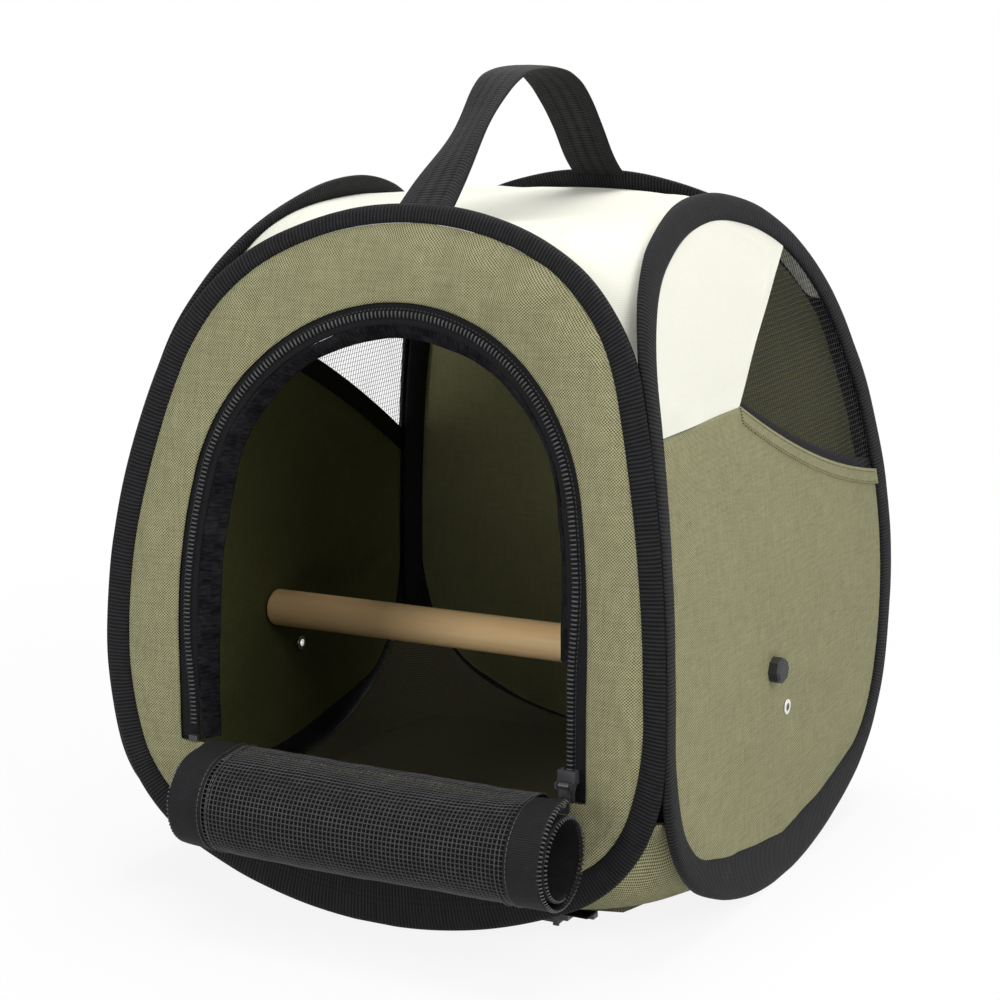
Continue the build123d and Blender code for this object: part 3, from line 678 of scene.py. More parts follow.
def settled(name, place, columns, rows, slack, most, outward, fixed):
    """Simulate a coarse copy of a cloth, cut a little too large and held at its edges.
    Gives a function of (u, v): how far each point of the cloth moved."""
    kept_uv = {}

    def watch(u, v):
        kept_uv["u"], kept_uv["v"] = u, v
        return place(u, v)

    piece = laid(name + "_settling", columns, rows, watch)
    u, v = kept_uv["u"], kept_uv["v"]
    before = np.array([p.co for p in piece.data.vertices])
    held = (np.minimum(u, 1 - u) < 1e-4) | (np.minimum(v, 1 - v) < 1e-4)
    held |= fixed(before)
    group = piece.vertex_groups.new(name="held")
    group.add([int(i) for i in np.flatnonzero(held)], 1.0, "REPLACE")
    cloth = piece.modifiers.new("settle", "CLOTH")
    cloth.settings.vertex_group_mass = "held"
    cloth.settings.quality = 6
    cloth.settings.mass = 0.1
    cloth.settings.bending_stiffness = 0.2
    cloth.settings.shrink_min = cloth.settings.shrink_max = -slack
    cloth.settings.effector_weights.gravity = 0.3
    cloth.collision_settings.use_collision = False
    for frame_number in range(1, SETTLING_FRAMES + 1):
        bpy.context.scene.frame_set(frame_number)
    shown = piece.evaluated_get(bpy.context.evaluated_depsgraph_get())
    move = np.array([p.co for p in shown.data.vertices]) - before
    bpy.context.scene.frame_set(1)
    bpy.data.objects.remove(piece, do_unlink=True)
    length = np.linalg.norm(move, axis=1)
    move *= (most * np.tanh(length / most) / np.maximum(length, 1e-9))[:, None]
    outward = np.array(outward, dtype=float)
    move -= np.minimum(move @ outward, 0)[:, None] * INWARD_LOST * outward
    order = np.lexsort((np.round(u * columns), np.round(v * rows)))
    grid = move[order].reshape(rows + 1, columns + 1, 3)
    print(name, "settled by", round(float(length.max()) / MM, 1), "mm, kept within", most / MM)
    return lambda u, v: smooth_reader(grid, u, v)


def pushed(points, side, amount):
    """Move points out of a wall by an amount."""
    return points + np.asarray(amount)[..., None] * np.array(OUTWARD[side])


def squared(wave, power):
    """A sine or cosine pushed towards its ends, which squares up a round section."""
    return np.sign(wave) * np.abs(wave) ** power


# %% [markdown]
# ## Hoop bindings
# Each hoop is a flat spring inside folded ribbed tape. The tape is one closed tube:
# its section is a soft rectangle, fuller at the spring and thin where it is sewn down.
# Where two hoops meet at a corner, the tape is flattened against its neighbour.


# %% Four bindings
def tape_section(v, width, thick, soft=3.0, taper=0.35):
    """Inset and depth round the folded tape's section."""
    t = 2 * math.pi * v
    c, s = np.cos(t), np.sin(t)
    inset = width / 2 * (1 - squared(c, 2 / soft))
    deep = squared(s, 2 / soft)
    return inset, thick / 2 + deep * thick / 2 * (1 - taper * (inset / width) ** 2)


def mitred(points, gap=0.15 * MM):
    """Press front-wall points back from the diagonal planes."""
    x, y, z = np.moveaxis(points, -1, 0)
    over = np.maximum(np.abs(x) + y + gap, 0) / 2
    return np.stack([x - np.sign(x) * over, y - over, z], -1)


TAPE_WIDTH, LOST_OVER_DOOR = 12.5 * MM, 4.2 * MM
GATHERED = {"front": 15.0 * MM, "right": 12.0 * MM, "back": 0.0 * MM, "left": 12.0 * MM}
FOOT_HALF, CROWN_HALF = 98 * MM, 120 * MM


def tape_width(u, side):
    """The tape is wide where two hoops' tapes gather at the foot, and narrow over the door."""
    from_foot = np.minimum(u, 1 - u) * hoop.length
    width = TAPE_WIDTH + GATHERED[side] * np.exp(-(from_foot / FOOT_HALF) ** 4)
    if side == "front":
        width = width - LOST_OVER_DOOR * np.exp(-(((u - 0.5) * hoop.length / CROWN_HALF) ** 4))
    return width


def under_tape(across, up, side, spare=3.0 * MM):
    """Which points of a wall lie under the tape at its edge, or nearly."""
    u = np.linspace(0, 1, 700)
    line = hoop.at(u * hoop.length, 0.0)
    away = np.hypot(across[:, None] - line[:, 0], up[:, None] - line[:, 1])
    nearest = np.argmin(away, axis=1)
    return away.min(axis=1) < tape_width(u, side)[nearest] + spare


def make_binding(side, seed):
    """One hoop's tape, as a closed tube whose length runs from the foot round to it again."""
    def place(u, v):
        width = tape_width(u, side)
        inset, depth = tape_section(v, width, 4.9 * MM)
        flat = hoop.at(u * hoop.length, inset)
        x, z = flat[:, 0], np.maximum(flat[:, 1], 0.0)
        points = on_wall(x, z, depth)
        calm = np.minimum(1, z / (12 * MM))
        sway = soft_noise(points, 38 * MM, seed) * 0.35 * MM * calm
        points = points + np.stack([sway * 0.6, -np.abs(sway), sway], -1)
        points[:, 2] = np.maximum(points[:, 2], 0.0)
        return turned(mitred(points), side)

    piece = laid(f"{side}_tape", 720, 22, place, (hoop.length, 32 * MM), closed=True)
    return sewn(piece, grosgrain, stands_for=[f"{side}_binding"])


for number, side in enumerate(("front", "right", "back", "left")):
    make_binding(side, 1.7 * number)
    dressed(nodes[f"{side}_spring"], spring_steel)
print("bindings ready")

# %% [markdown]
# ## Front wall
# The front wall is a ring of canvas between the hoop and the door's arch. A flat sheet
# with a hole cut in it would have a ragged edge, so it is laid as a grid whose rows run
# from the arch out to the hoop. It bellies out a little between its two sewn edges, and
# shallow folds run between them beside the crown.


# %% Front panel
MIDDLE = (0.0, 160 * MM)
# How far in from the hoop's outline the walls end, and the top, the base and the nets.
SEWN_AT, TUCKED_AT = 9.5 * MM, 9 * MM
CLOTH_DEPTH = 2.5 * MM


def closed_ring(line, inset, angles):
    """Where a closed line crosses rays from the middle of the wall, as radii at the angles."""
    d = np.linspace(0, line.length, 3000)
    p = line.at(d, inset) - np.array(MIDDLE)
    a = np.unwrap(np.arctan2(p[:, 1], p[:, 0]))
    order = np.argsort(a)
    return np.interp(angles, a[order], np.hypot(*p.T)[order], period=2 * math.pi)


def arch_closed():
    """The arch with its sill, as one closed line."""
    sill = np.linspace(-103.5, 103.5, 200)[1:-1, None] * MM
    flat = np.concatenate([sill, np.full_like(sill, SILL)], 1)
    points = np.concatenate([arch.points, flat])
    down = np.tile([0.0, -1.0], (len(flat), 1))
    return Line(points, np.concatenate([arch.normals, down]))


door_edge = arch_closed()


def front_place(u, v):
    angle = 2 * math.pi * u - math.pi / 2
    inner = closed_ring(door_edge, -0.2 * MM, angle)
    outer = closed_ring(hoop, SEWN_AT, angle)
    crown = np.exp(-(((angle - math.pi / 2) / 0.95) ** 4))
    outer = outer + (closed_ring(hoop, 5.5 * MM, angle) - outer) * crown
    radius = inner + (outer - inner) * v
    x = MIDDLE[0] + radius * np.cos(angle)
    z = MIDDLE[1] + radius * np.sin(angle)
    points = on_wall(x, z, CLOTH_DEPTH)
    width = outer - inner
    belly = np.sin(math.pi * np.clip(v * 1.04, 0, 1)) ** 0.7 * np.minimum(width * 0.07, 3.2 * MM)
    high = np.clip((z - 200 * MM) / (80 * MM), 0, 1)
    gather = 0.5 * MM + 2.3 * MM * np.exp(-(((angle - 1.15) / 0.42) ** 2))
    wave = 0.5 + 0.5 * np.sin(angle * 23 + 2.2 * v + 1.5 * np.sin(angle * 5))
    fold = wave * 1.5 * gather * high * np.sin(math.pi * v)
    uneven = soft_noise(points, 26 * MM, 2.0) * 0.35 * MM * np.sin(math.pi * v)
    return pushed(points, "front", belly + fold + uneven)


FRONT_SLACK, FRONT_MOST = 0.012, 2.4 * MM
front_settling = settled("front_cloth", front_place, 150, 10, FRONT_SLACK, FRONT_MOST,
                         OUTWARD["front"], lambda p: under_tape(p[:, 0], p[:, 2], "front"))
front = laid("front_cloth", 420, 30, lambda u, v: front_place(u, v) + front_settling(u, v))


def flat_map(piece, side):
    """Replace a panel's map by its flat cut: across the wall, and up it."""
    co = np.array([v.co for v in piece.data.vertices])
    across = co[:, 0] if side in ("front", "back") else co[:, 1]
    lay = np.stack([across, co[:, 2]], 1)
    if side in ("top", "base"):
        lay = co[:, :2]
    index = np.empty(len(piece.data.loops), int)
    piece.data.loops.foreach_get("vertex_index", index)
    piece.data.uv_layers[0].data.foreach_set("uv", lay[index].ravel())
    return piece


flat_map(weld(front), "front")
# Its inside takes the darker olive, which is painted shade.
lined(front, OUTWARD["front"], olive, olive_painted_shade_inside)
sewn(front, None, stands_for=["front_panel"])
print("front wall ready", len(front.data.vertices), "points")

# %% [markdown]
# ## Back wall and its pocket
# The back wall has no opening. A disc cut from the middle outwards would pinch its weave
# at the centre, so a square grid is rounded off to fill the hoop. An empty patch pocket
# lies flat on it outside, and its side seams show as rows of pale stitches within.


# %% Panels that fill a hoop
def rounded_grid(u, v):
    """A square grid pressed into a unit disc."""
    a, b = 2 * u - 1, 2 * v - 1
    return a * np.sqrt(1 - b * b / 2), b * np.sqrt(1 - a * a / 2)


def hoop_disc(u, v, inset):
    """The disc stretched to fill the hoop, as x and z."""
    p, q = rounded_grid(u, v)
    angle, reach = np.arctan2(q, p), np.hypot(p, q)
    radius = closed_ring(hoop, inset, angle) * reach
    return radius * np.cos(angle), MIDDLE[1] + radius * np.sin(angle), reach


def back_place(u, v):
    x, z, reach = hoop_disc(u, v, SEWN_AT)
    points = on_wall(x, z, CLOTH_DEPTH)
    uneven = soft_noise(points, 40 * MM, 5.0) * 0.5 * MM * (1 - reach)
    belly = (1 - reach ** 2.5) * -1.2 * MM + uneven
    return turned(pushed(points, "front", belly), "back")


back = flat_map(laid("back_cloth", 150, 150, back_place), "back")
# Its inside takes the paler olive, which is painted light.
lined(back, OUTWARD["back"], olive, olive_back_painted_light)
sewn(back, None, stands_for=["back_panel"])


def hoop_half(z, inset):
    """Half width of the hoop at a height."""
    d = np.linspace(0, hoop.length / 2, 2500)
    p = hoop.at(d, inset)
    order = np.argsort(p[:, 1])
    return np.interp(z, p[order, 1], p[order, 0], left=0.0, right=0.0)


POCKET_LOW, POCKET_HIGH, POCKET_HALF = 10.5 * MM, 181.5 * MM, 91.5 * MM


def pocket_place(u, v):
    z = POCKET_LOW + (POCKET_HIGH - POCKET_LOW) * v
    half = np.minimum(hoop_half(z, 12.6 * MM), POCKET_HALF)
    x = half * (2 * u - 1)
    points = on_wall(x, z, 0.7 * MM)
    gape = np.clip((z - 150 * MM) / (32 * MM), 0, 1) ** 2 * (1 - (x / (95 * MM)) ** 2) * 1.6 * MM
    uneven = soft_noise(points, 30 * MM, 9.0) * 0.2 * MM
    return turned(pushed(points, "front", gape + uneven), "back")


pocket = flat_map(laid("back_pocket_cloth", 90, 90, pocket_place), "back")
thickened(pocket, 0.9 * MM)
sewn(pocket, olive, stands_for=["back_pocket"])
print("back wall ready")


# %% [markdown]
# ## Stitches
# A stitch is a short rounded bar. A bump in the cloth's shader would vanish at a low
# angle, so one bar is modelled, and a row of copies is laid along a line of points, each
# turned along the line, as a sewing machine leaves them.


# %% Rows of stitches and teeth
def bar_shape(name, long, wide, high):
    """A small bar with a raised middle."""
    bpy.ops.object.select_all(action="DESELECT")
    bpy.ops.mesh.primitive_cube_add(size=1)
    bar = bpy.context.object
    bar.name = name
    bpy.ops.object.mode_set(mode="EDIT")
    bpy.ops.transform.resize(value=(long, wide, high))
    bpy.ops.mesh.bevel(offset=min(wide, high) * 0.28, segments=1)
    bpy.ops.object.mode_set(mode="OBJECT")
    return bar


def repeated(name, pattern, places, along, out):
    """One mesh with a copy of the pattern at each place, its X along and its Z out."""
    mesh = pattern.data
    base = np.array([v.co for v in mesh.vertices])
    faces = [list(p.vertices) for p in mesh.polygons]
    along = along / np.linalg.norm(along, axis=1, keepdims=True)
    side = np.cross(out, along)
    side = side / np.linalg.norm(side, axis=1, keepdims=True)
    up = np.cross(along, side)
    spots = (places[:, None, :] + base[None, :, 0:1] * along[:, None, :]
             + base[None, :, 1:2] * side[:, None, :] + base[None, :, 2:3] * up[:, None, :])
    count = len(base)
    all_faces = [[i + count * k for i in face] for k in range(len(places)) for face in faces]
    made = bpy.data.meshes.new(name)
    made.from_pydata(spots.reshape(-1, 3).tolist(), [], all_faces)
    made.uv_layers.new()
    piece = bpy.data.objects.new(name, made)
    bpy.context.scene.collection.objects.link(piece)
    bpy.data.objects.remove(pattern)
    return piece


def spaced(points, pitch, skip=0.0):
    """Even places along a polyline, with the directions there."""
    step = np.linalg.norm(np.diff(points, axis=0), axis=1)
    run = np.concatenate([[0], np.cumsum(step)])
    marks = np.arange(skip, run[-1] - skip, pitch)
    where = np.stack([np.interp(marks, run, points[:, i]) for i in range(3)], 1)
    ahead = np.stack([np.interp(marks + pitch / 4, run, points[:, i]) for i in range(3)], 1)
    behind = np.stack([np.interp(marks - pitch / 4, run, points[:, i]) for i in range(3)], 1)
    return where, ahead - behind


def resampled(values, count):
    """The same run of vectors, read at another number of even places."""
    share, even = np.linspace(0, 1, count), np.linspace(0, 1, len(values))
    return np.stack([np.interp(share, even, values[:, i]) for i in range(3)], 1)


def stitch_row(name, points, out, finish, body="shell", pitch=3.0 * MM, long=2.0 * MM,
               thick=0.55 * MM):
    """A row of stitches along a line, each lying flat on a face that points out."""
    where, along = spaced(points, pitch)
    out = np.tile(np.array(out, float), (len(where), 1))
    row = repeated(name, bar_shape(name + "_bar", long, thick, thick), where, along, out)
    return sewn(row, finish, body, smooth=False)


z = np.linspace(18, 180, 60) * MM
MIRROR = np.array([-1, 1, 1])
for row, across, depth, out, thread, thick in (
        ("pocket_seam_inside", 92, 3.25, OUTWARD["front"], stitch_pale, 0.5),
        ("pocket_seam", 89.5, 0.15, OUTWARD["back"], stitch_olive, 0.45)):
    seam = turned(np.stack([0 * z + across * MM, -wall_face(z, depth * MM), z], 1), "back")
    for side, line in (("left", seam), ("right", seam * MIRROR)):
        stitch_row(f"{row}_{side}", line, out, thread, thick=thick * MM)
print("stitches ready")

# %% [markdown]
# ## Side walls
# Each side wall is sewn from three cloths: olive canvas below, a pale patch above at
# the front, and a net window above at the back. One grid cut up by its colours would
# have no seams, so each cloth is a grid of its own that ends on a seam. The seams are
# arcs through three points. The left wall mirrors the right one, but its window's lower
# seam is steeper.


# %% Seams of a side wall
def arc_through(a, b, c):
    """Points of the circle's arc through three points."""
    (ax, ay), (bx, by), (cx, cy) = a, b, c
    d = 2 * (ax * (by - cy) + bx * (cy - ay) + cx * (ay - by))
    aa, bb, cc = ax * ax + ay * ay, bx * bx + by * by, cx * cx + cy * cy
    ux = (aa * (by - cy) + bb * (cy - ay) + cc * (ay - by)) / d
    uy = (aa * (cx - bx) + bb * (ax - cx) + cc * (bx - ax)) / d
    r = math.hypot(ax - ux, ay - uy)
    t = np.unwrap([math.atan2(y - uy, x - ux) for x, y in (a, b, c)])
    s = np.linspace(0, 1, 200)
    angle = np.where(s < 0.5, t[0] + (t[1] - t[0]) * 2 * s, t[1] + (t[2] - t[1]) * (2 * s - 1))
    return np.stack([ux + r * np.cos(angle), uy + r * np.sin(angle)], 1)


meet = (-29 * MM, 229 * MM)
window_low = {
    "right": arc_through(meet, (45 * MM, 195 * MM), (155.5 * MM, 168 * MM)),
    "left": arc_through((-29 * MM, 240 * MM), (50 * MM, 206 * MM), (150 * MM, 149 * MM))}
window_front = arc_through(meet, (20 * MM, 261 * MM), (110 * MM, 306 * MM))


def hoop_z(y, inset, upper):
    """Height of the hoop's upper or lower line at a distance across the wall."""
    d = np.linspace(0, hoop.length / 2, 4000)
    p = hoop.at(d, inset)
    split = np.argmax(p[:, 0])
    part = p[split:][::-1] if upper else p[:split + 1]
    return np.interp(np.abs(y), part[:, 0], part[:, 1])


def lower_place(u, v, side):
    """Y and Z of the olive cloth, from the foot up to the window and the patch."""
    half = hoop_half(WIDEST_AT, SEWN_AT) - 0.05 * MM
    y = half * np.sin(math.pi * (u - 0.5))
    low, high = hoop_z(y, SEWN_AT, False), hoop_z(y, SEWN_AT, True)
    line = window_low[side]
    seam = np.where(y < meet[0], line[0, 1], np.interp(y, line[:, 0], line[:, 1]))
    top = np.minimum(seam, high)
    z = low + (top - low) * v
    return y, z


def patch_place(u, v, side):
    """Y and Z of the pale cloth, from the olive one up to the crown."""
    top = hoop_z(np.array([0.0]), SEWN_AT, True)[0] - 0.05 * MM
    start = window_low[side][0, 1]
    z = start + (top - start) * (1 - (1 - v) ** 1.6)
    half = hoop_half(z, SEWN_AT)
    rear = np.minimum(np.interp(z, window_front[:, 1], window_front[:, 0]), half)
    return -half + (rear + half) * u, z


# Each hole's place across the wall and up it, and its radius: eyelet, then perch stud.
HOLES = {"right": ((0, 83, 2.7), (-19, 106, 2.9)), "left": ((24, 73, 2.7), (0, 98, 2.9))}
CALM_ROUND_HOLES = 17 * MM
SIDE_SLACK, SIDE_MOST = 0.003, 1.6 * MM


def side_sheet(name, side, place, columns, rows, depth, belly, seed):
    """One cloth of a side wall, with a soft belly that dies out at its edges."""
    def onto(u, v):
        y, z = place(u, v, side)
        edge = hoop_half(z, SEWN_AT) - np.abs(y)
        rise = np.clip(edge / (30 * MM), 0, 1) ** 0.6
        points = on_side(y, z, depth, side)
        amount = belly * rise + soft_noise(points, 34 * MM, seed) * 0.45 * MM * rise
        return turned(pushed(points, "front", amount), side)

    def fixed(points):
        holes = [np.hypot(points[:, 1] - y * MM, points[:, 2] - z * MM) for y, z, _ in HOLES[side]]
        return (np.min(holes, 0) < CALM_ROUND_HOLES) | under_tape(points[:, 1], points[:, 2], side)

    settling = settled(name, onto, columns // 4, rows // 4, SIDE_SLACK, SIDE_MOST, OUTWARD[side],
                       fixed)
    return flat_map(laid(name, columns, rows, lambda u, v: onto(u, v) + settling(u, v)), side)


for number, side in enumerate(("right", "left")):
    side_sheet(f"{side}_lower_cloth", side, lower_place, 160, 110, CLOTH_DEPTH, 1.0 * MM, number)
    cloth = side_sheet(f"{side}_pale_cloth", side, patch_place, 90, 60, 2.3 * MM, 0.8 * MM,
                       3 + number)
    sewn(cloth, cream, stands_for=[f"{side}_pale_patch"])
print("side cloths ready")


# %% [markdown]
# ## Holes for the eyelets and the perch's studs
# A Boolean would cut these holes too, but it leaves long thin faces in a fine grid. So
# the nearest grid point is deleted instead, and the eight points round the gap are moved
# onto a circle, which gives a clean round hole under the metal.


# %% Round holes in a panel
def pierce(piece, y, z, radius):
    """Open a round hole in a side cloth."""
    mesh = piece.data
    co = np.array([v.co for v in mesh.vertices])
    middle = np.array([y, z])
    nearest = int(np.argmin(np.hypot(*(co[:, 1:] - middle).T)))
    touching = [p for p in mesh.polygons if nearest in p.vertices]
    ring = sorted({i for p in touching for i in p.vertices} - {nearest})
    for i in ring:
        away = co[i, 1:] - middle
        angle = math.atan2(away[1], away[0])
        spot = middle + radius * np.array([math.cos(angle), math.sin(angle)])
        mesh.vertices[i].co = (co[i, 0], spot[0], spot[1])
    only(piece)
    bpy.ops.object.mode_set(mode="EDIT")
    bpy.ops.mesh.select_all(action="DESELECT")
    bpy.ops.object.mode_set(mode="OBJECT")
    mesh.vertices[nearest].select = True
    bpy.ops.object.mode_set(mode="EDIT")
    bpy.ops.mesh.select_mode(type="VERT")
    bpy.ops.mesh.delete(type="VERT")
    bpy.ops.object.mode_set(mode="OBJECT")
    return piece


for side, holes in HOLES.items():
    cloth = bpy.data.objects[f"{side}_lower_cloth"]
    for y, z, radius in holes:
        pierce(cloth, y * MM, z * MM, radius * MM)
    # Its inside takes the darker olive, which is painted shade.
    lined(cloth, OUTWARD[side], olive, olive_painted_shade_inside)
    sewn(cloth, None, stands_for=[f"{side}_lower_panel"])
    dressed(nodes[f"eyelet_{side}"], nickel)
print("holes ready")

# %% [markdown]
# ## Net windows
# The windows are open net. Holes drawn with alpha on a flat sheet have no thickness, and
# the threads vanish from the side. So a square grid at the net's real pitch is laid on
# the wall, the cells outside the window are deleted, and the Wireframe modifier turns
# what is left into threads. Black tape hides the cut edge inside.


# %% Nets
def kept(piece, inside):
    """Delete the faces whose centres aren't inside."""
    mesh = piece.data
    centres = np.array([p.center for p in mesh.polygons])
    keep = inside(centres)
    only(piece)
    bpy.ops.object.mode_set(mode="EDIT")
    bpy.ops.mesh.select_mode(type="FACE")
    bpy.ops.mesh.select_all(action="DESELECT")
    bpy.ops.object.mode_set(mode="OBJECT")
    mesh.polygons.foreach_set("select", ~keep)
    bpy.ops.object.mode_set(mode="EDIT")
    bpy.ops.mesh.delete(type="FACE")
    bpy.ops.mesh.select_mode(type="VERT")
    bpy.ops.object.mode_set(mode="OBJECT")
    return piece


def in_window(centres, side):
    line = window_low[side]
    y, z = centres[:, 1], centres[:, 2]
    above = z > np.interp(y, line[:, 0], line[:, 1]) - 3 * MM
    rear = y > np.interp(z, window_front[:, 1], window_front[:, 0], left=meet[0], right=1) - 3 * MM
    return above & rear & (np.abs(y) < hoop_half(z, TUCKED_AT))


def make_net(side, pitch=2.4 * MM):
    """The window's net, in one piece of threads."""
    columns, rows = 71, 66
    low_y, low_z = -33 * MM, 152 * MM

    def place(u, v):
        y, z = low_y + u * columns * pitch, low_z + v * rows * pitch
        points = on_side(y, z, 3.0 * MM, side)
        edge = np.clip((hoop_half(z, TUCKED_AT) - np.abs(y)) / (25 * MM), 0, 1)
        sink = -0.8 * MM + soft_noise(points, 30 * MM, 4.0) * 0.7 * MM
        return turned(pushed(points, "front", edge * sink), side)

    net = kept(laid(f"{side}_net", columns, rows, place, (columns * pitch, rows * pitch)),
               lambda centres: in_window(centres, side))
    netted(net, 0.30 * MM)
    print(net.name, len(net.data.polygons), "faces")
    return sewn(net, net_thread, stands_for=[f"{side}_mesh_window"])


def seam_strip(name, side, seam, low, high, depth, finish, stands_for=(), thick=0.7 * MM):
    """A strip along the window's seam, from an offset below it to one above."""
    def place(u, v):
        even = np.linspace(0, 1, len(seam))
        y = np.interp(u, even, seam[:, 0])
        z = np.interp(u, even, seam[:, 1]) + low + (high - low) * v
        y = np.minimum(y, hoop_half(z, 10 * MM))
        return turned(on_side(y, z, depth, side), side)

    strip = laid(name, 110, 6, place, (0.19, abs(high - low)))
    thickened(strip, thick)
    return sewn(strip, finish, stands_for=stands_for)


for side in ("right", "left"):
    make_net(side)
    seam = window_low[side]
    seam_strip(f"{side}_hem_inside", side, seam, -5.5 * MM, 5.5 * MM, 3.8 * MM, hem_cloth,
               [f"{side}_window_hem"])
    fold = seam_strip(f"{side}_hem_fold", side, seam, -7.4 * MM, 0.3 * MM, 1.35 * MM, olive)
    flat_map(fold, side)
    for row, drop in enumerate((1.3, 6.3)):
        y, z = seam[:, 0], seam[:, 1] - drop * MM
        good = y < hoop_half(z, 12 * MM)
        points = turned(on_side(y, z, 0.95 * MM, side), side)[good]
        stitch_row(f"{side}_hem_stitches_{row}", points, OUTWARD[side], stitch_olive,
                   pitch=2.6 * MM, long=1.8 * MM, thick=0.4 * MM)
print("windows ready")

# %% [markdown]
# ## Corner tapes
# Black tape covers the four corner seams inside, from where the hoops meet above the
# foot to where they part below the top. It follows the walls' lean, so it is a strip
# that is laid on the corner's own line and not a straight bar.


# %% Corner tapes
CORNER_LOW, CORNER_LONG, CORNER_WIDE = 66, 190, 11


def corner_place(direction):
    """The strip in the corner that lies this way from the middle."""
    def place(u, v):
        z = (CORNER_LOW + CORNER_LONG * u) * MM
        reach = math.sqrt(2) * wall_face(z, 5 * MM) - 6.2 * MM
        across = (v - 0.5) * CORNER_WIDE * MM
        bow = (1 - (2 * v - 1) ** 2) * -1.0 * MM
        d = np.array(direction) / math.sqrt(2)
        s = np.array([-d[1], d[0]])
        x, y = ((reach + bow) * d[i] + across * s[i] for i in (0, 1))
        return np.stack([x, y, z], -1)
    return place


corners = {"front_right": (1, -1), "back_right": (1, 1), "back_left": (-1, 1),
           "front_left": (-1, -1)}
for name, direction in corners.items():
    tape = laid(f"corner_{name}", 90, 8, corner_place(direction), (0.20, 0.011))
    thickened(tape, 0.8 * MM)
    sewn(tape, hem_cloth, stands_for=[f"corner_tape_{name}"])
print("corner tapes ready")


# %% [markdown]
# ## Top
# The pale top is a saddle, low in the middle and at the corners and high at the hoops.
# Its four edges are known, because they are sewn to the hoops, so the surface between is
# blended from them, as a tent maker does, and small folds start at the front and back.


# %% Top
PARTING = 260


def eased(share):
    """From 0 to 1 with a soft start and a soft stop."""
    return share * share * (3 - 2 * share)


def rounded_max(value, least):
    """The larger of the two, with a rounded corner between them."""
    return least + 3 * MM * np.log1p(np.exp((value - least) / (3 * MM)))


def top_height(x, y):
    corner = wall_face(PARTING * MM)
    a, b = eased(np.minimum(np.abs(x) / corner, 1)), eased(np.minimum(np.abs(y) / corner, 1))
    edge_x, edge_y = (rounded_max(hoop_z(v, TUCKED_AT, True), PARTING * MM) for v in (x, y))
    middle, crown = 309 * MM, 311 * MM
    along = (1 - a) * (middle + (crown - middle) * b) + a * edge_y
    along = along + (1 - b) * (middle + (crown - middle) * a) + b * edge_x
    corners_too = (1 - a) * (1 - b) * middle + (a + b - 2 * a * b) * crown + a * b * PARTING * MM
    return along - corners_too


def top_place(u, v):
    """The walls lean in as the top rises, so its reach and its height are found by turns."""
    a, b = 2 * u - 1, 2 * v - 1
    x, y = a * 95 * MM, b * 95 * MM
    for _ in range(20):
        reach = wall_face(top_height(x, y), 4.4 * MM)
        x, y = a * reach, b * reach
    z = top_height(x, y)
    points = np.stack([x, y, z], -1)
    rim = np.clip((1 - np.maximum(np.abs(a), np.abs(b))) * 6, 0, 1)
    pull = np.sin(a * 23 + 2 * b) * np.exp(-((np.abs(b) - 0.9) / 0.22) ** 2) * 0.35 * MM
    points[:, 2] += rim * (soft_noise(points, 42 * MM, 1.0) * 0.8 * MM + pull) - 0.6 * MM
    return points


top = flat_map(laid("top_cloth", 120, 120, top_place), "top")
sewn(top, cream, stands_for=["top_panel"])

# %% [markdown]
# ## Base and floor board
# The base is flat, with its corners drawn up to where the hoops part, so it is one sheet
# that turns up steeply near its edges. The board on it is stiff, and a Bevel modifier
# rounds the edge that its cover is folded over.


# %% Base and floor board
def base_height(x, y):
    low, high = 9.2 * MM, 66 * MM
    edges = [-rounded_max(-rounded_max(hoop_z(v, TUCKED_AT, False), low), -high) for v in (x, y)]
    at_x, at_y = ((edge - low) * np.minimum(np.abs(v) / (138 * MM), 1) ** 10
                  for edge, v in zip(edges, (y, x)))
    return low + at_x + at_y - at_x * at_y / (high - low)


def base_place(u, v):
    reach = 137.6 * MM
    x, y = (2 * u - 1) * reach, (2 * v - 1) * reach
    z = base_height(x, y) + 0.6 * MM
    points = np.stack([x, y, z], -1)
    edge = np.clip((reach - np.maximum(np.abs(x), np.abs(y))) / (20 * MM), 0, 1)
    points[:, 2] += soft_noise(points, 35 * MM, 7.0) * 0.4 * MM * edge
    return points


base = flat_map(laid("base_cloth", 130, 130, base_place), "base")
lined(base, (0, 0, -1), olive, board_cloth, 0.9 * MM)
sewn(base, None, stands_for=["base_panel"])


BOARD_HALF, BOARD_MIDDLE_Z, BOARD_ROUNDNESS = 116 * MM, 13.4 * MM, 0.40


def board_place(u, v):
    """A square and a disc mixed, and clipped to the board's straight edges."""
    a, b = 2 * u - 1, 2 * v - 1
    p, q = rounded_grid(u, v)
    x, y = ((square * (1 - BOARD_ROUNDNESS) + disc * BOARD_ROUNDNESS) * 121 * MM
            for square, disc in ((a, p), (b, q)))
    x, y = np.clip(x, -BOARD_HALF, BOARD_HALF), np.clip(y, -BOARD_HALF, BOARD_HALF)
    points = np.stack([x, y, 0 * x + BOARD_MIDDLE_Z], -1)
    points[:, 2] += soft_noise(points, 60 * MM, 3.0) * 0.25 * MM
    return points


board = flat_map(laid("board_cover", 90, 90, board_place), "base")
thickened(board, 3.0 * MM)
modify(board, "BEVEL", width=0.9 * MM, segments=2, limit_method="ANGLE",
       angle_limit=math.radians(50))
sewn(board, board_cloth, "board", ["floor_board"])
print("base and board ready")

# %% [markdown]
# ## Door zip
# The zip follows the arch. Its tape is a strip behind the canvas, and its coil is a
# row of small nylon loops. A single twisted tube would be harder to keep even round the
# arch, so one loop is modelled, with few faces, and the rest are copies of it. A soft
# brushed edging stands inside the opening.


# %% Zip tape, coil and edging
ZIP_OUTER, ZIP_INNER = -5.8 * MM, 9.4 * MM


